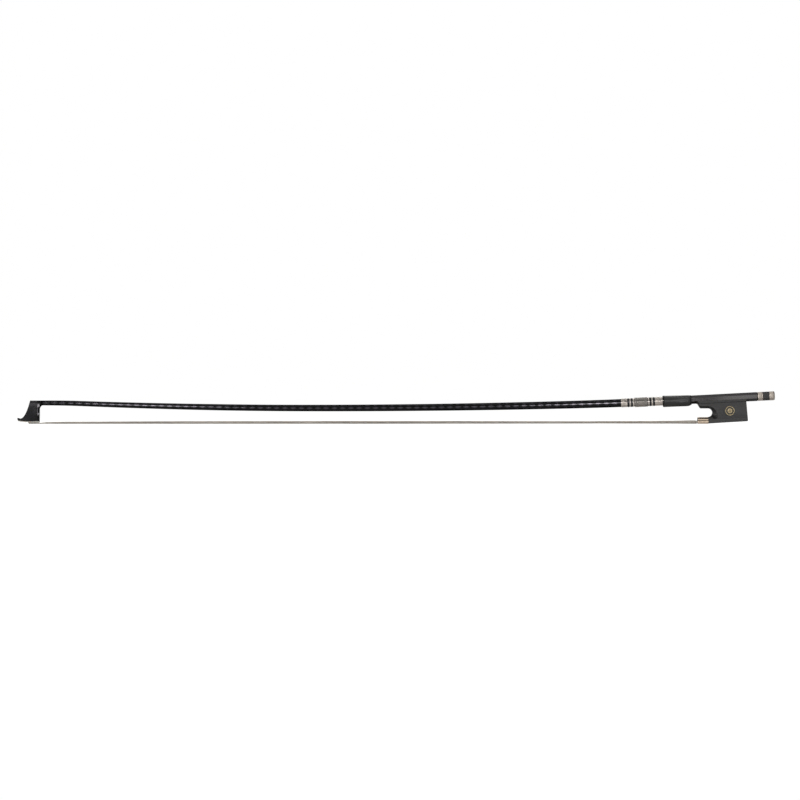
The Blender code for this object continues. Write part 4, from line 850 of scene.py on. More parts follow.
def make_knots(surface):
    x = TIP_MORTISE_X + SEATED + 0.00105
    z = TIP_MORTISE_TOP - 0.0021 - 2 * SEATED + 0.00105
    make_knot("bound_head_knot", "head_knot", "stick", TIP_MORTISE_WIDTH, 0.0021, x, z, surface)
    inset = SEATED + FROG_KNOT_DIAMETER / 2
    x, z = FROG_MORTISE_END_X - inset, FROG_MORTISE_TOP - inset
    make_knot(
        "bound_frog_knot", "frog_knot", "frog", FROG_MORTISE_WIDTH, FROG_KNOT_DIAMETER, x, z, surface
    )


# The frog and its mounts


def frog_half_width(depth):
    """Half the frog's width at a depth below the handle's axis."""
    rail = RAIL_TOP + FROG_RAIL_HEIGHT
    if depth <= rail:
        return FROG_TOP_WIDTH / 2
    below = rail + FROG_RAIL_STEP
    if depth <= below:
        share = (depth - rail) / FROG_RAIL_STEP
        return (FROG_TOP_WIDTH + (FROG_WAIST_WIDTH - FROG_TOP_WIDTH) * share) / 2
    share = min((depth - below) / (FROG_FLARE_DEPTH - below), 1.0)
    return (FROG_WAIST_WIDTH + (FROG_BASE_WIDTH - FROG_WAIST_WIDTH) * share**2.2) / 2


RAIL_TOP = BUTT_DIAMETER / 2 * tan(pi / 8) + GLUED
THROAT_FLOOR = FERRULE_HEIGHT + SEATED
THROAT_RADIUS = (THROAT_ROOF - THROAT_FLOOR) / 2
THROAT_BEVEL = 0.0022
NOSE_BEVEL = 0.0010
THROAT_BEVEL_FROM = 0.0042


def frog_bottom(x):
    """Height of the frog's underside, which rises towards its heel."""
    share = (x - SHOULDER_X) / (HEEL_X - SHOULDER_X)
    return FROG_BASE_LIFT + (HEEL_RISE - FROG_BASE_LIFT) * share


def nose():
    """The nose's top corner, its slant, and where its front would meet the throat's roof."""
    x = FERRULE_X - NOSE_OVERHANG
    slant = NOSE_SLANT / (handle_height(x) - RAIL_TOP - THROAT_ROOF)
    return x, slant, x + NOSE_SLANT


def rounded(start, corner, end, steps=6):
    """Points round a corner, from one place to another."""
    shares = [index / steps for index in range(steps + 1)]
    return [
        tuple((1 - t) ** 2 * a + 2 * t * (1 - t) * b + t * t * c for a, b, c in zip(start, corner, end))
        for t in shares
    ]


def throat_arc(steps):
    """The throat's half circle from the ferrule to its roof, as (share, x, z, direction) each."""
    for index in range(steps + 1):
        angle = -pi / 2 + pi * index / steps
        u, v = cos(angle), sin(angle)
        x = SHOULDER_X + THROAT_RADIUS * u
        yield index / steps, x, THROAT_FLOOR + THROAT_RADIUS + THROAT_RADIUS * v, (u, v)


def frog_outline():
    """The frog seen from its side: nose, top, heel, underside, shoulder and throat."""
    nose_x, slant, nose_low_x = nose()
    heel_top_x = HEEL_X - HEEL_SLANT
    heel_slant = HEEL_SLANT / (handle_height(heel_top_x) - RAIL_TOP - HEEL_RISE)
    above = RAIL_TOP + TRIM_HEIGHT
    points = [
        (nose_x - slant * above, handle_height(nose_x) + TRIM_HEIGHT),
        (heel_top_x - heel_slant * above, handle_height(heel_top_x) + TRIM_HEIGHT),
    ]
    start = (HEEL_X - heel_slant * HEEL_CORNER, HEEL_RISE + HEEL_CORNER)
    end = (HEEL_X - HEEL_CORNER, frog_bottom(HEEL_X - HEEL_CORNER))
    points += rounded(start, (HEEL_X, HEEL_RISE), end)
    points.append((SHOULDER_X, frog_bottom(SHOULDER_X)))
    points += [(x, z) for _, x, z, _ in throat_arc(48)]
    start = (nose_low_x + 0.9 * NOSE_CORNER, THROAT_ROOF)
    end = (nose_low_x - slant * NOSE_CORNER, THROAT_ROOF + NOSE_CORNER)
    return points + rounded(start, (nose_low_x, THROAT_ROOF), end)


def throat_chamfers(side):
    """Cutters for the wide bevel that runs from the ferrule round the throat and up the nose."""
    nose_x, slant, bottom_x = nose()
    top = handle_height(nose_x) + TRIM_HEIGHT
    left = nose_x - 0.012
    curved, front = [], []
    for y in (THROAT_BEVEL_FROM, 0.009):
        reach = (y - THROAT_BEVEL_FROM) / (FROG_WAIST_WIDTH / 2 - THROAT_BEVEL_FROM)
        ring = []
        for share, x, z, (u, v) in throat_arc(37):
            grown = min(1.0, 2.2 * share)
            offset = THROAT_BEVEL * grown * grown * (3 - 2 * grown) * reach - 0.00005
            ring.append(Vector((x + u * offset, side * y, z + v * offset)))
        ring.append(Vector((left, side * y, ring[-1].z)))
        ring.append(Vector((left, side * y, THROAT_FLOOR + 0.0001)))
        curved.append(ring)
        ring = []
        for height, width in ((THROAT_ROOF - 0.004, THROAT_BEVEL), (top + 0.004, NOSE_BEVEL)):
            x = bottom_x - slant * (height - THROAT_ROOF) + width * reach
            ring.append(Vector((x, side * y, height)))
        ring.append(Vector((left, side * y, top + 0.004)))
        ring.append(Vector((left, side * y, THROAT_ROOF - 0.004)))
        front.append(ring)
    return [loft("curved_chamfer", curved), loft("front_chamfer", front)]


def frog_section():
    """The frog seen from its end, along the handle: rails, hollow sides and wide base."""
    rail = RAIL_TOP + FROG_RAIL_HEIGHT
    below = rail + FROG_RAIL_STEP
    half = [(0.0, FROG_TOP_WIDTH / 2), (rail, FROG_TOP_WIDTH / 2), (below, FROG_WAIST_WIDTH / 2)]
    steps = 22
    for index in range(1, steps + 1):
        depth = below + (FROG_FLARE_DEPTH - below) * index / steps
        half.append((depth, frog_half_width(depth)))
    half.append((2 * FROG_AXIS_HEIGHT, FROG_BASE_WIDTH / 2))
    outline = half + [(depth, -width) for depth, width in reversed(half)]
    middle = -FROG_LENGTH / 2 - FROG_FROM_BUTT
    ends = (middle - FROG_LENGTH, middle + FROG_LENGTH)
    data = prism_mesh("section", [outline], lambda u, v, far: Vector((u, v, ends[far])))
    data.transform(handle_matrix(BUTT_X))
    return data


def slide_dovetail():
    rings = []
    for x in (SHOULDER_X - FERRULE_LENGTH, SHOULDER_X + SLIDE_LENGTH + SEATED):
        ring = []
        for depth, side in ((-0.001, -1), (-0.001, 1), (1.0, 1), (1.0, -1)):
            depth = min(depth, 1.0) * (SLIDE_LEVEL - SEATED / 2 + SEATED)
            half = SLIDE_WIDTH / 2 + SLIDE_FLARE * depth / SLIDE_LEVEL + SEATED
            ring.append(Vector((x, side * half, frog_bottom(x) + depth - (0.001 if depth < 0 else 0))))
        rings.append(ring)
    return loft("dovetail", rings)


def hair_pocket():
    level = SLIDE_LEVEL + HAIR_THICKNESS + 2 * SEATED
    outline = [
        (FERRULE_X, 0.0),
        (FROG_MORTISE_END_X, 0.0),
        (FROG_MORTISE_END_X, FROG_MORTISE_TOP),
        (FROG_MORTISE_X, FROG_MORTISE_TOP),
        (FROG_MORTISE_X, frog_bottom(FROG_MORTISE_X) + level),
        (SHOULDER_X, frog_bottom(SHOULDER_X) + level),
        (FERRULE_X, frog_bottom(SHOULDER_X) + level - 0.001),
    ]
    return side_profile("pocket", outline, FROG_MORTISE_WIDTH)


def eye_places():
    """Where the eyes sit: their Z stands out of the frog's hollow sides."""
    depth = (handle_height(EYE_X) - EYE_HEIGHT) * cos(HANDLE_TILT)
    step = EYE_DOT_RADIUS / 2
    flare = (frog_half_width(depth + step) - frog_half_width(depth - step)) / (2 * step)
    for name, side in (("left", -1), ("right", 1)):
        outward = Vector((0, side, flare)).normalized()
        turn = outward.to_track_quat("Z", "X").to_matrix().to_4x4()
        yield name, Matrix.Translation((EYE_X, side * frog_half_width(depth), EYE_HEIGHT)) @ turn


def make_frog(surface, bevel_shade):
    data = side_profile("ebony_frog", frog_outline(), 1.2 * FROG_BASE_WIDTH)
    frog = piece("ebony_frog", data, surface, "frog", "frog_body", slot="ebony")
    carve(frog, [frog_section()], "INTERSECT")
    soften(frog, 0.00035, 3)
    trim = box_mesh(
        "trim", (-2 * BUTT_DIAMETER, -FROG_BASE_WIDTH, -2 * FROG_LENGTH), (RAIL_TOP, FROG_BASE_WIDTH, 0.0)
    )
    trim.transform(handle_matrix(BUTT_X))
    carve(frog, [trim])
    carve(frog, throat_chamfers(-1) + throat_chamfers(1))
    tongue = end_profile(
        "tongue",
        [ferrule_outline(FERRULE_WALL + SEATED, WEDGE_TOP + SEATED)],
        FERRULE_X + 2 * SEATED,
        SHOULDER_X + TONGUE_ROOT,
    )
    carve(frog, [tongue], "UNION")
    lined = SLIDING + 0.00025 + GLUED
    ends = (FERRULE_X - NOSE_SLANT, HEEL_X + NOSE_SLANT)
    channel = loft("channel", [stick_ring(x, lined) for x in ends])
    hole = rod_mesh("hole", 0.00145 + SEATED, 0, 0.0105 + 2 * SEATED)
    hole.transform(handle_matrix(EYELET_X) @ Matrix.Rotation(radians(90), 4, "Y"))
    carve(frog, [channel, hair_pocket(), slide_dovetail(), hole])
    tools = []
    floor = EYE_PROUD - EYE_DEPTH - SEATED
    outer, inner = EYE_RING_RADIUS + SEATED, EYE_RING_RADIUS - EYE_RING_WIDTH - SEATED
    dot = EYE_DOT_RADIUS + SEATED
    for _, place in eye_places():
        for profile in (
            [(outer, 0.002), (outer, floor), (inner, floor), (inner, 0.002)],
            [(0.0, 0.002), (dot, 0.002), (dot, floor), (0.0, floor)],
        ):
            tool = turned_mesh("eye_tool", profile, 96)
            tool.transform(place)
            tools.append(tool)
    carve(frog, tools)
    frog.data.materials.append(bevel_shade)
    _, _, front_x = nose()
    upright = handle_matrix(BUTT_X).inverted()
    # Faces of the throat bevel and of the step under the rails take the near-black material: painted shade.
    for face in frog.data.polygons:
        x, _, z = face.center
        near = x < SHOULDER_X + THROAT_RADIUS + 0.0036 and z > THROAT_FLOOR - 0.0004
        within = x < front_x + 0.0014 or z < THROAT_ROOF + 0.0036
        depth = (upright @ face.center).x - RAIL_TOP - FROG_RAIL_HEIGHT
        line = -0.0001 < depth < FROG_RAIL_STEP + 0.0001 and 0.3 < abs(face.normal.y) < 0.9
        if line or near and within and 0.55 < abs(face.normal.y) < 0.985:
            face.material_index = 1
    weighted(frog)


def make_eyes(metal, pearl):
    top, floor, soft = EYE_PROUD, EYE_PROUD - EYE_DEPTH, 0.00008
    outer, inner = EYE_RING_RADIUS, EYE_RING_RADIUS - EYE_RING_WIDTH
    ring = [
        (outer, top - soft), (outer, floor), (inner, floor), (inner, top - soft),
        (inner + soft, top), (outer - soft, top),
    ]
    dot = [(0.0, top + 0.00006)]
    for index in range(1, 7):
        share = index / 6
        dot.append((EYE_DOT_RADIUS * share * 0.97, top + 0.00006 * (1 - share * share)))
    dot += [(EYE_DOT_RADIUS, top - soft), (EYE_DOT_RADIUS, floor), (0.0, floor)]
    for name, place in eye_places():
        data = turned_mesh(f"fine_eye_ring_{name}", ring, 96)
        node = f"eye_ring_{name}"
        piece(data.name, data, metal, "frog", node, slot="nickel_silver", matrix=place)
        data = turned_mesh(f"fine_eye_dot_{name}", dot, 96)
        made = piece(data.name, data, pearl, "frog", f"eye_dot_{name}", slot="pearl", matrix=place)


def ferrule_outline(inset, floor, steps=28):
    """The D of the ferrule seen from its end, drawn in by inset and cut off below floor."""
    half = FROG_BASE_WIDTH / 2 - inset
    corner = max(FERRULE_CORNER - inset, 0.0002)
    top = FERRULE_HEIGHT - inset
    side = FERRULE_SIDE
    arch = [
        (half * cos(pi * index / (2 * steps)), side + (top - side) * sin(pi * index / (2 * steps)))
        for index in range(steps + 1)
    ]
    if floor >= side:
        share = (floor - side) / (top - side)
        right = [(half * (1 - share**2) ** 0.5, floor)]
        right += [point for point in arch if point[1] > floor + 0.0001]
    else:
        right = []
        for index in range(9):
            turn = pi / 2 * index / 8
            right.append((half - corner + corner * sin(turn), floor + corner - corner * cos(turn)))
        right += arch
    return right + [(-across, up) for across, up in reversed(right) if across > 1e-6]


def soften(made, width, segments=2, limit=40):
    """Rounds a piece's sharp edges."""
    edges = made.modifiers.new("edges", "BEVEL")
    edges.limit_method = "ANGLE"
    edges.angle_limit = radians(limit)
    edges.width = width
    edges.segments = segments
    applied(made, radians(50))
    weighted(made)


def make_ferrule(metal):
    outlines = [ferrule_outline(0.0, 0.0), ferrule_outline(FERRULE_WALL, FERRULE_WALL)]
    data = end_profile("fine_ferrule", outlines, FERRULE_X, FERRULE_X + FERRULE_LENGTH)
    ferrule = piece("fine_ferrule", data, metal, "frog", "ferrule", slot="nickel_silver")
    soften(ferrule, 0.00012)


def flats(diameter):
    """Corner radius of an octagon with this distance across its flats."""
    return diameter / 2 / cos(pi / 8)


def make_button(metal, wood):
    collar_end = SEATED + COLLAR_LENGTH
    core_start, core_end = collar_end + SEATED, collar_end + SEATED + CORE_LENGTH
    cap_start, cap_end = core_end + SEATED, core_end + SEATED + CAP_LENGTH
    blind = cap_end - CAP_LENGTH / 4 + SEATED
    wide, narrow = flats(BUTTON_DIAMETER), flats(0.0086)
    hole, recess = flats(0.0029 + 2 * SEATED), flats(NIPPLE_DIAMETER + 4 * SEATED)
    body = wide - 0.0001
    collar = [
        (body, collar_end), (wide, collar_end - 0.0001), (wide, collar_end - 0.0006),
        (wide - 0.0002, collar_end - 0.0008), (wide - 0.0002, collar_end - 0.00095),
        (body, collar_end - 0.0011), (body, SEATED + 0.0006), (wide - 0.0006, SEATED),
        (recess, SEATED), (recess, SEATED + NIPPLE_LENGTH + 2 * SEATED),
        (hole, SEATED + NIPPLE_LENGTH + 2 * SEATED), (hole, collar_end),
    ]
    core = [
        (narrow - 0.0002, core_end), (narrow, core_end - 0.0002), (narrow, core_start + 0.0002),
        (narrow - 0.0002, core_start), (hole, core_start), (hole, core_end),
    ]
    cap = [(0.0, cap_end), (wide - 1.6 * CAP_ROUNDING, cap_end)]
    for index in range(1, 9):
        turn = pi / 2 * index / 8
        radius = wide - 1.3 * CAP_ROUNDING * (1 - sin(turn))
        cap.append((radius, cap_end - 1.5 * CAP_ROUNDING * (1 - cos(turn))))
    cap += [(wide, cap_start + 0.0001), (body, cap_start), (hole, cap_start), (hole, blind), (0.0, blind)]
    place = handle_matrix(BUTT_X)
    for name, node, profile, surface, slot in (
        ("fine_collar", "button_collar", collar, metal, "nickel_silver"),
        ("fine_core", "button_core", core, wood, "ebony"),
        ("fine_cap", "button_cap", cap, metal, "nickel_silver"),
    ):
        data = turned_mesh(name, profile, 8)
        made = piece(name, data, surface, "screw", node, slot=slot, matrix=place)
        soften(made, 0.00009, 2, 35)


# Materials


def add(tree, kind, inputs=None, **settings):
    """A shader node with its settings and its inputs, which are values or other nodes' sockets."""
    node = tree.nodes.new(kind)
    for key, value in settings.items():
        setattr(node, key, value)
    for key, value in (inputs or {}).items():
        if isinstance(value, bpy.types.NodeSocket):
            tree.links.new(value, node.inputs[key])
        else:
            node.inputs[key].default_value = value
    return node


def math(tree, operation, first, second=0.0, third=0.0):
    node = add(tree, "ShaderNodeMath", {0: first, 1: second, 2: third}, operation=operation)
    return node.outputs[0]


def ramp(tree, value, stops):
    """A colour ramp through (position, colour) stops."""
    node = add(tree, "ShaderNodeValToRGB", {"Fac": value})
    points = node.color_ramp.elements
    while len(points) < len(stops):
        points.new(0.5)
    for point, (position, colour) in zip(points, stops):
        point.position = position
        point.color = (*colour, 1.0)
    return node.outputs["Color"]


def mixed(tree, share, first, second, kind="MIX"):
    """A colour mixed from two, which are colours or sockets."""
    node = add(tree, "ShaderNodeMix", {0: share}, data_type="RGBA", blend_type=kind)
    for key, value in ((6, first), (7, second)):
        if isinstance(value, bpy.types.NodeSocket):
            tree.links.new(value, node.inputs[key])
        else:
            node.inputs[key].default_value = (*value, 1.0)
    return node.outputs[2]


def new_material(name, **sockets):
    """A Principled material with some of its plain sockets set."""
    made = bpy.data.materials.new(name)
    made.use_nodes = True
    tree = made.node_tree
    shader = tree.nodes["Principled BSDF"]
    for key, value in sockets.items():
        shader.inputs[key.replace("_", " ")].default_value = value
    return made, tree, shader


def scaled_place(tree, scale):
    """Object coordinates, in metres, times a scale for each axis."""
    place = add(tree, "ShaderNodeTexCoord").outputs["Object"]
    return add(tree, "ShaderNodeVectorMath", {0: place, 1: scale}, operation="MULTIPLY").outputs[0]


def noise(tree, scale, detail=3.0, roughness=0.55):
    """Noise with its grain in 1 / metre along each axis."""
    inputs = {"Vector": scaled_place(tree, scale), "Scale": 1.0, "Detail": detail, "Roughness": roughness}
    return add(tree, "ShaderNodeTexNoise", inputs).outputs["Fac"]


def bump(tree, shader, height, distance, strength=1.0):
    node = add(tree, "ShaderNodeBump", {"Height": height, "Distance": distance, "Strength": strength})
    tree.links.new(node.outputs["Normal"], shader.inputs["Normal"])


def colour_from(tree, shader, colour):
    tree.links.new(colour, shader.inputs["Base Color"])


def between(tree, value, low, high, start=0.0, end=1.0):
    """A value taken from one range to another."""
    inputs = {"Value": value, "From Min": start, "From Max": end, "To Min": low, "To Max": high}
    return add(tree, "ShaderNodeMapRange", inputs).outputs["Result"]


def roughness_between(tree, shader, value, low, high):
    tree.links.new(between(tree, value, low, high), shader.inputs["Roughness"])


def carbon_material():
    """Braided tows of carbon under a clear coat. The UV map has the way round and the length."""
    made, tree, shader = new_material("carbon_fibre", Metallic=0.96, Specular_Tint=(0.07, 0.07, 0.075, 1.0))
    split = add(tree, "ShaderNodeSeparateXYZ", {0: add(tree, "ShaderNodeTexCoord").outputs["UV"]})
    around = math(tree, "MULTIPLY", split.outputs["X"], float(BRAID_TOWS))
    length = math(tree, "MULTIPLY", split.outputs["Y"], 1 / BRAID_PERIOD)
    first = math(tree, "ADD", around, length)
    second = math(tree, "SUBTRACT", around, length)
    floors = math(tree, "ADD", math(tree, "FLOOR", first), math(tree, "FLOOR", second))
    over = math(tree, "FLOORED_MODULO", floors, 2.0)
    crowns = []
    for value in (first, second):
        offset = math(tree, "ABSOLUTE", math(tree, "SUBTRACT", math(tree, "FRACT", value), 0.5))
        crowns.append(math(tree, "SUBTRACT", 1.0, math(tree, "POWER", math(tree, "MULTIPLY", offset, 2.0), 3.0)))
    both = math(tree, "MULTIPLY", crowns[0], crowns[1])
    fibres = noise(tree, (260, 9000, 9000), 3.0)
    handle = between(tree, split.outputs["Y"], 0.0, 1.0, OCTAGON_X - BEAK_X, OCTAGON_X - BEAK_X + 0.01)
    tow = mixed(tree, handle, mixed(tree, over, CARBON_DARK, CARBON_LIGHT), CARBON_HANDLE)
    lit = mixed(tree, fibres, (0.45, 0.45, 0.45), (1.55, 1.55, 1.55))
    filled = math(tree, "MAXIMUM", both, handle)
    braid = mixed(tree, filled, CARBON_GAP, mixed(tree, 1.0, tow, lit, "MULTIPLY"))
    grains = noise(tree, (1300, 1300, 1300), 3.0)
    specks = ramp(tree, grains, [(0.35, (0.021, 0.020, 0.021)), (0.65, (0.040, 0.038, 0.041))])
    head = between(tree, split.outputs["Y"], 1.0, 0.0, HEAD_LENGTH - 0.0005, HEAD_LENGTH + 0.001)
    # The colour is darkened round the throat, where the head meets the stick: painted shade.
    throat = math(tree, "ABSOLUTE", math(tree, "SUBTRACT", split.outputs["Y"], HEAD_LENGTH + 0.0005))
    throat_painted_shade = between(tree, throat, 0.35, 1.0, 0.0012, 0.004)
    surface = mixed(tree, head, braid, specks)
    shade = add(tree, "ShaderNodeCombineXYZ", {0: throat_painted_shade, 1: throat_painted_shade, 2: throat_painted_shade}).outputs[0]
    colour_from(tree, shader, mixed(tree, 1.0, surface, shade, "MULTIPLY"))
    smooth = between(tree, fibres, 0.05, 0.10)
    plain = math(tree, "MAXIMUM", handle, head)
    rough = math(tree, "MULTIPLY", over, between(tree, plain, 0.06, 0.0))
    tree.links.new(math(tree, "ADD", smooth, rough), shader.inputs["Roughness"])
    return made


BRAID_TOWS = 6
BRAID_PERIOD = 0.0081
CARBON_DARK = (0.011, 0.0105, 0.0115)
CARBON_LIGHT = (0.037, 0.0345, 0.039)
CARBON_GAP = (0.008, 0.0078, 0.0082)
CARBON_HANDLE = (0.028, 0.0265, 0.0265)


def ebony_material():
    made, tree, shader = new_material("ebony", Specular_IOR_Level=0.18)
    grain = noise(tree, (160, 5200, 3800), 4.0)
    pores = noise(tree, (900, 9000, 9000), 2.0)
    streaks = ramp(tree, grain, [(0.3, (0.021, 0.0197, 0.0193)), (0.72, (0.035, 0.0328, 0.0324))])
    dark = ramp(tree, pores, [(0.34, (0.6, 0.6, 0.6)), (0.46, (1.0, 1.0, 1.0))])
    colour_from(tree, shader, mixed(tree, 1.0, streaks, dark, "MULTIPLY"))
    roughness_between(tree, shader, grain, 0.34, 0.50)
    bump(tree, shader, pores, 0.00002, 0.4)
    return made


def bevel_shade_material():
    """The frog's throat bevels and the steps under its rails: filed, glossier than the ebony, and coloured near
    black as painted shade.
    """
    made, tree, shader = new_material("ebony_bevel_painted_shade", Specular_IOR_Level=0.12)
    grain = noise(tree, (160, 5200, 3800), 4.0)
    colour_from(tree, shader, ramp(tree, grain, [(0.3, (0.004, 0.004, 0.004)), (0.7, (0.010, 0.009, 0.009))]))
    roughness_between(tree, shader, grain, 0.25, 0.35)
    return made


def metal_material(name, colour, low, high, tarnish=0.75):
    made, tree, shader = new_material(name, Metallic=1.0)
    scratches = noise(tree, (900, 12000, 9000), 4.0)
    clouds = noise(tree, (260, 420, 420), 3.0)
    dark = tuple(tarnish * part for part in colour)
    base = ramp(tree, clouds, [(0.32, dark), (0.62, colour)])
    fine = ramp(tree, scratches, [(0.3, (0.86, 0.86, 0.86)), (0.7, (1.0, 1.0, 1.0))])
    colour_from(tree, shader, mixed(tree, 1.0, base, fine, "MULTIPLY"))
    roughness_between(tree, shader, scratches, low, high)
    return made


def thread_material():
    made, tree, shader = new_material("black_thread", Sheen_Weight=0.05, Specular_IOR_Level=0.3)
    fibres = noise(tree, (9000, 9000, 9000), 3.0)
    stops = [(0.3, (0.005, 0.005, 0.0055)), (0.7, (0.022, 0.0213, 0.022))]
    colour_from(tree, shader, ramp(tree, fibres, stops))
    roughness_between(tree, shader, fibres, 0.35, 0.6)
    return made


def leather_material():
    made, tree, shader = new_material("black_leather", Specular_IOR_Level=0.24)
    cells = add(
        tree, "ShaderNodeTexVoronoi", {"Vector": scaled_place(tree, (2100, 2100, 2100)), "Scale": 1.0}
    ).outputs["Distance"]
    creases = noise(tree, (420, 800, 800), 5.0)
    colour_from(
        tree, shader, ramp(tree, creases, [(0.3, (0.010, 0.0096, 0.0096)), (0.75, (0.025, 0.0242, 0.0242))])
    )
    roughness_between(tree, shader, creases, 0.28, 0.40)
    height = math(tree, "ADD", cells, math(tree, "MULTIPLY", creases, 0.8))
    bump(tree, shader, height, 0.00012, 0.45)
    return made


# Near-black colour for the leather's two ends: painted shade.
def leather_end_shade_material():
    made, tree, shader = new_material("leather_end_painted_shade", Specular_IOR_Level=0.1, Roughness=0.6)
    fibres = noise(tree, (3000, 3000, 3000), 3.0)
    colour_from(tree, shader, ramp(tree, fibres, [(0.3, (0.002, 0.002, 0.002)), (0.7, (0.006, 0.005, 0.005))]))
    return made


def pearl_material():
    made, tree, shader = new_material("pearl", Coat_Weight=0.2, Coat_Roughness=0.06)
    bands = noise(tree, (110, 300, 300), 4.0, 0.6)
    stops = [
        (0.30, (0.26, 0.215, 0.13)),
        (0.43, (0.42, 0.365, 0.25)),
        (0.51, (0.55, 0.51, 0.41)),
        (0.60, (0.36, 0.32, 0.22)),
        (0.74, (0.60, 0.57, 0.48)),
    ]
    colour_from(tree, shader, ramp(tree, bands, stops))
    roughness_between(tree, shader, bands, 0.14, 0.3)
    return made


def eye_material():
    """The eyes' gold pearl, with a painted dark reflection at its middle, and darker at its rim."""
    made, tree, shader = new_material("eye_pearl", Specular_IOR_Level=0.15)
    place = scaled_place(tree, (1, 0, 1))
    middle = (EYE_X, 0.0, EYE_HEIGHT)
    radius = add(tree, "ShaderNodeVectorMath", {0: place, 1: middle}, operation="DISTANCE").outputs["Value"]
    # Rings of colour out from the dot's middle; the dark middle is a painted reflection.
    rings = between(tree, radius, 0.0, 1.0, 0.0, EYE_DOT_RADIUS)
    stops = [
        (0.05, (0.13, 0.095, 0.045)),
        (0.32, (0.24, 0.185, 0.09)),
        (0.50, (0.44, 0.36, 0.21)),
        (0.78, (0.36, 0.29, 0.165)),
        (0.96, (0.09, 0.07, 0.04)),
    ]
    clouds = ramp(tree, noise(tree, (700, 500, 700), 3.0), [(0.36, (0.55, 0.52, 0.46)), (0.62, (1.1, 1.1, 1.1))])
    colour_from(tree, shader, mixed(tree, 1.0, ramp(tree, rings, stops), clouds, "MULTIPLY"))
    roughness_between(tree, shader, noise(tree, (900, 500, 700)), 0.25, 0.4)
    return made


def hair_material():
    made, tree, shader = new_material("horsehair", Specular_IOR_Level=0.4)
    tone = add(tree, "ShaderNodeAttribute", attribute_name="strand_tone").outputs["Fac"]
    stops = [(0.0, (0.43, 0.385, 0.335)), (0.5, (0.59, 0.54, 0.48)), (1.0, (0.74, 0.69, 0.625))]
    strand = ramp(tree, tone, stops)
    along = noise(tree, (60, 6000, 6000), 2.0)
    light = ramp(tree, along, [(0.3, (0.8, 0.8, 0.8)), (0.7, (1.1, 1.1, 1.1))])
    colour_from(tree, shader, mixed(tree, 1.0, strand, light, "MULTIPLY"))
    roughness_between(tree, shader, along, 0.38, 0.5)
    return made


def bound_material():
    made, tree, shader = new_material("bound_hair", Roughness=0.6)
    strands = noise(tree, (6000, 900, 6000), 3.0)
    colour_from(tree, shader, ramp(tree, strands, [(0.3, (0.20, 0.16, 0.12)), (0.7, (0.42, 0.36, 0.29))]))
    return made


def bone_material():
    made, tree, shader = new_material("bone", Subsurface_Weight=0.1, Subsurface_Scale=0.002)
    streaks = noise(tree, (300, 1400, 1400), 4.0)
    colour_from(tree, shader, ramp(tree, streaks, [(0.3, (0.50, 0.47, 0.40)), (0.7, (0.68, 0.65, 0.59))]))
    roughness_between(tree, shader, streaks, 0.28, 0.42)
    return made


def maple_material():
    made, tree, shader = new_material("maple")
    grain = noise(tree, (250, 5000, 5000), 4.0)
    colour_from(tree, shader, ramp(tree, grain, [(0.3, (0.44, 0.29, 0.16)), (0.7, (0.66, 0.49, 0.31))]))
    roughness_between(tree, shader, grain, 0.5, 0.7)
    return made


def paint(material, *names):
    """Gives CAD nodes a material in all their slots."""
    for name in names:
        data = nodes[name].data
        data.materials.clear()
        data.materials.append(material)


# Light and floor


def add_lamp(name, location, width, height, radiance):
    """A soft box that faces the bow, as bright as given to the eye."""
    data = bpy.data.lights.new(name, "AREA")
    data.shape = "RECTANGLE"
    data.size = width
    data.size_y = height
    data.energy = radiance * pi * width * height
    lamp = bpy.data.objects.new(name, data)
    bpy.context.scene.collection.objects.link(lamp)
    lamp.location = location
    aim = Vector(location)
    aim.x = 0.0
    lamp.rotation_euler = aim.to_track_quat("Z", "Y").to_euler()


def seen(tree):
    """1 for rays that see the background: straight, in a gloss or through glass."""
    path = add(tree, "ShaderNodeLightPath")
    either = math(tree, "MAXIMUM", path.outputs["Is Camera Ray"], path.outputs["Is Glossy Ray"])
    return math(tree, "MAXIMUM", either, path.outputs["Is Transmission Ray"])


def make_light():
    add_lamp("front_box", (0.0, -1.6, 0.16), 1.5, 0.28, 0.9)
    add_lamp("front_left_box", (-0.34, -1.56, 0.29), 0.115, 0.56, 26.0)
    add_lamp("front_right_box", (0.25, -1.56, 0.29), 0.091, 0.56, 26.0)
    add_lamp("front_grip_box", (0.3325, -1.56, 0.29), 0.074, 0.56, 12.0)
    add_lamp("front_side_box", (0.4535, -1.56, 0.29), 0.057, 0.56, 4.5)
    add_lamp("high_box", (0.0, -0.4, 1.6), 1.5, 1.0, 1.4)
    add_lamp("top_box", (0.0, 1.1, 1.5), 1.5, 0.4, 6.0)
    world = bpy.data.worlds.new("studio")
    bpy.context.scene.world = world
    world.use_nodes = True
    tree = world.node_tree
    background = tree.nodes["Background"]
    way = add(tree, "ShaderNodeTexCoord").outputs["Generated"]
    height = add(tree, "ShaderNodeSeparateXYZ", {0: way}).outputs["Z"]
    strength = between(tree, height, 1.0, 0.5, sin(radians(6)), sin(radians(30)))
    tree.links.new(strength, background.inputs["Strength"])
    background.inputs["Color"].default_value = (1.0, 1.0, 1.0, 1.0)


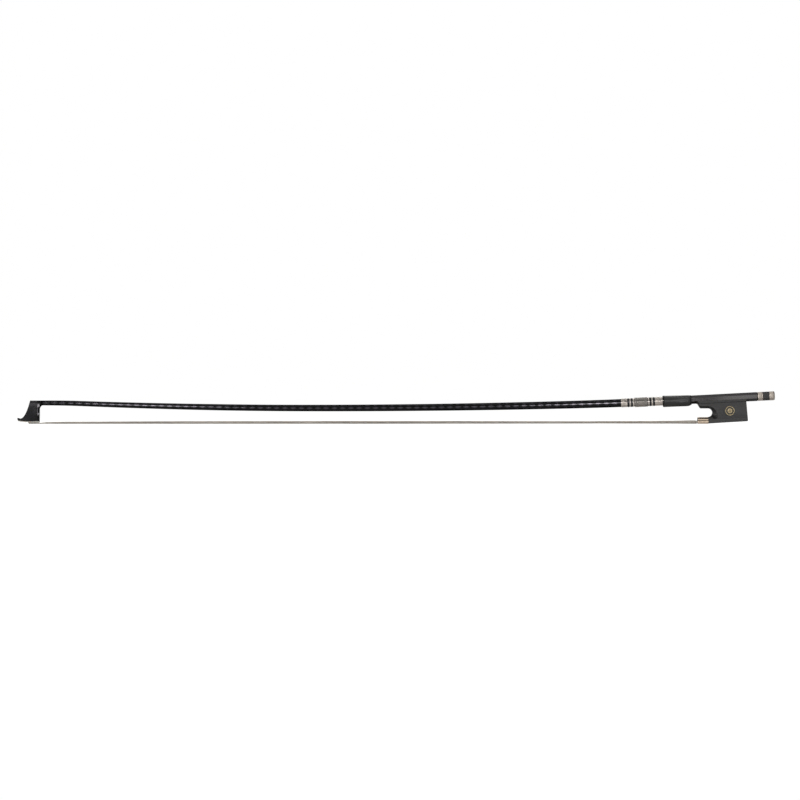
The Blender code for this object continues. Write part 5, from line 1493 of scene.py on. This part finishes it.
def make_floor():
    """A plain pale floor under the bow, which keeps its shadow."""
    bpy.ops.mesh.primitive_plane_add(size=60.0)
    floor = bpy.context.object
    floor.location.z = -FLOOR_GAP
    floor.name = "floor"
    made, tree, shader = new_material("floor", Base_Color=(0.22, 0.22, 0.22, 1.0), Roughness=0.9)
    shader.inputs["Specular IOR Level"].default_value = 0.0
    lit = math(tree, "MULTIPLY", seen(tree), 0.9)
    glow = add(tree, "ShaderNodeEmission", {"Color": (1, 1, 1, 1), "Strength": lit})
    both = add(tree, "ShaderNodeAddShader", {0: shader.outputs[0], 1: glow.outputs[0]})
    tree.links.new(both.outputs[0], tree.nodes["Material Output"].inputs["Surface"])
    floor.data.materials.append(made)


make_camera()
carbon = carbon_material()
ebony = ebony_material()
silver = metal_material("silver_wire", (0.63, 0.58, 0.535), 0.22, 0.36)
nickel = metal_material("nickel_silver", (0.37, 0.295, 0.225), 0.04, 0.07, 0.93)
gold = metal_material("eye_gold", (0.19, 0.155, 0.095), 0.42, 0.5, 0.95)
pearl = pearl_material()
thread = thread_material()
bound = bound_material()
make_stick(carbon)
face_strip("ebony_liner", LINER_BOTTOM, LINER_THICKNESS, ebony, "tip_liner", slot="ebony")
face_strip("bone_plate", PLATE_BOTTOM, PLATE_THICKNESS, bone_material(), "tip_plate", slot="bone")
make_winding(silver, thread)
make_leather(leather_material(), leather_end_shade_material())
make_hair(hair_material())
make_knots(bound)
make_frog(ebony, bevel_shade_material())
make_eyes(gold, eye_material())
make_ferrule(nickel)
make_button(metal_material("button_nickel", (0.235, 0.207, 0.18), 0.08, 0.12, 0.93), ebony)
paint(maple_material(), "head_plug", "frog_plug", "spread_wedge")
paint(ebony, "slide_backing")
paint(pearl, "pearl_slide")
# The underslide's nickel is coloured far darker than the ferrule's.
paint(metal_material("dark_nickel", (0.075, 0.066, 0.058), 0.3, 0.4), "underslide")
paint(metal_material("brass", (0.62, 0.46, 0.22), 0.2, 0.35), "eyelet")
paint(metal_material("steel", (0.42, 0.42, 0.44), 0.2, 0.35), "screw_shaft")
make_floor()
make_light()
bpy.context.scene.view_settings.view_transform = "Standard"
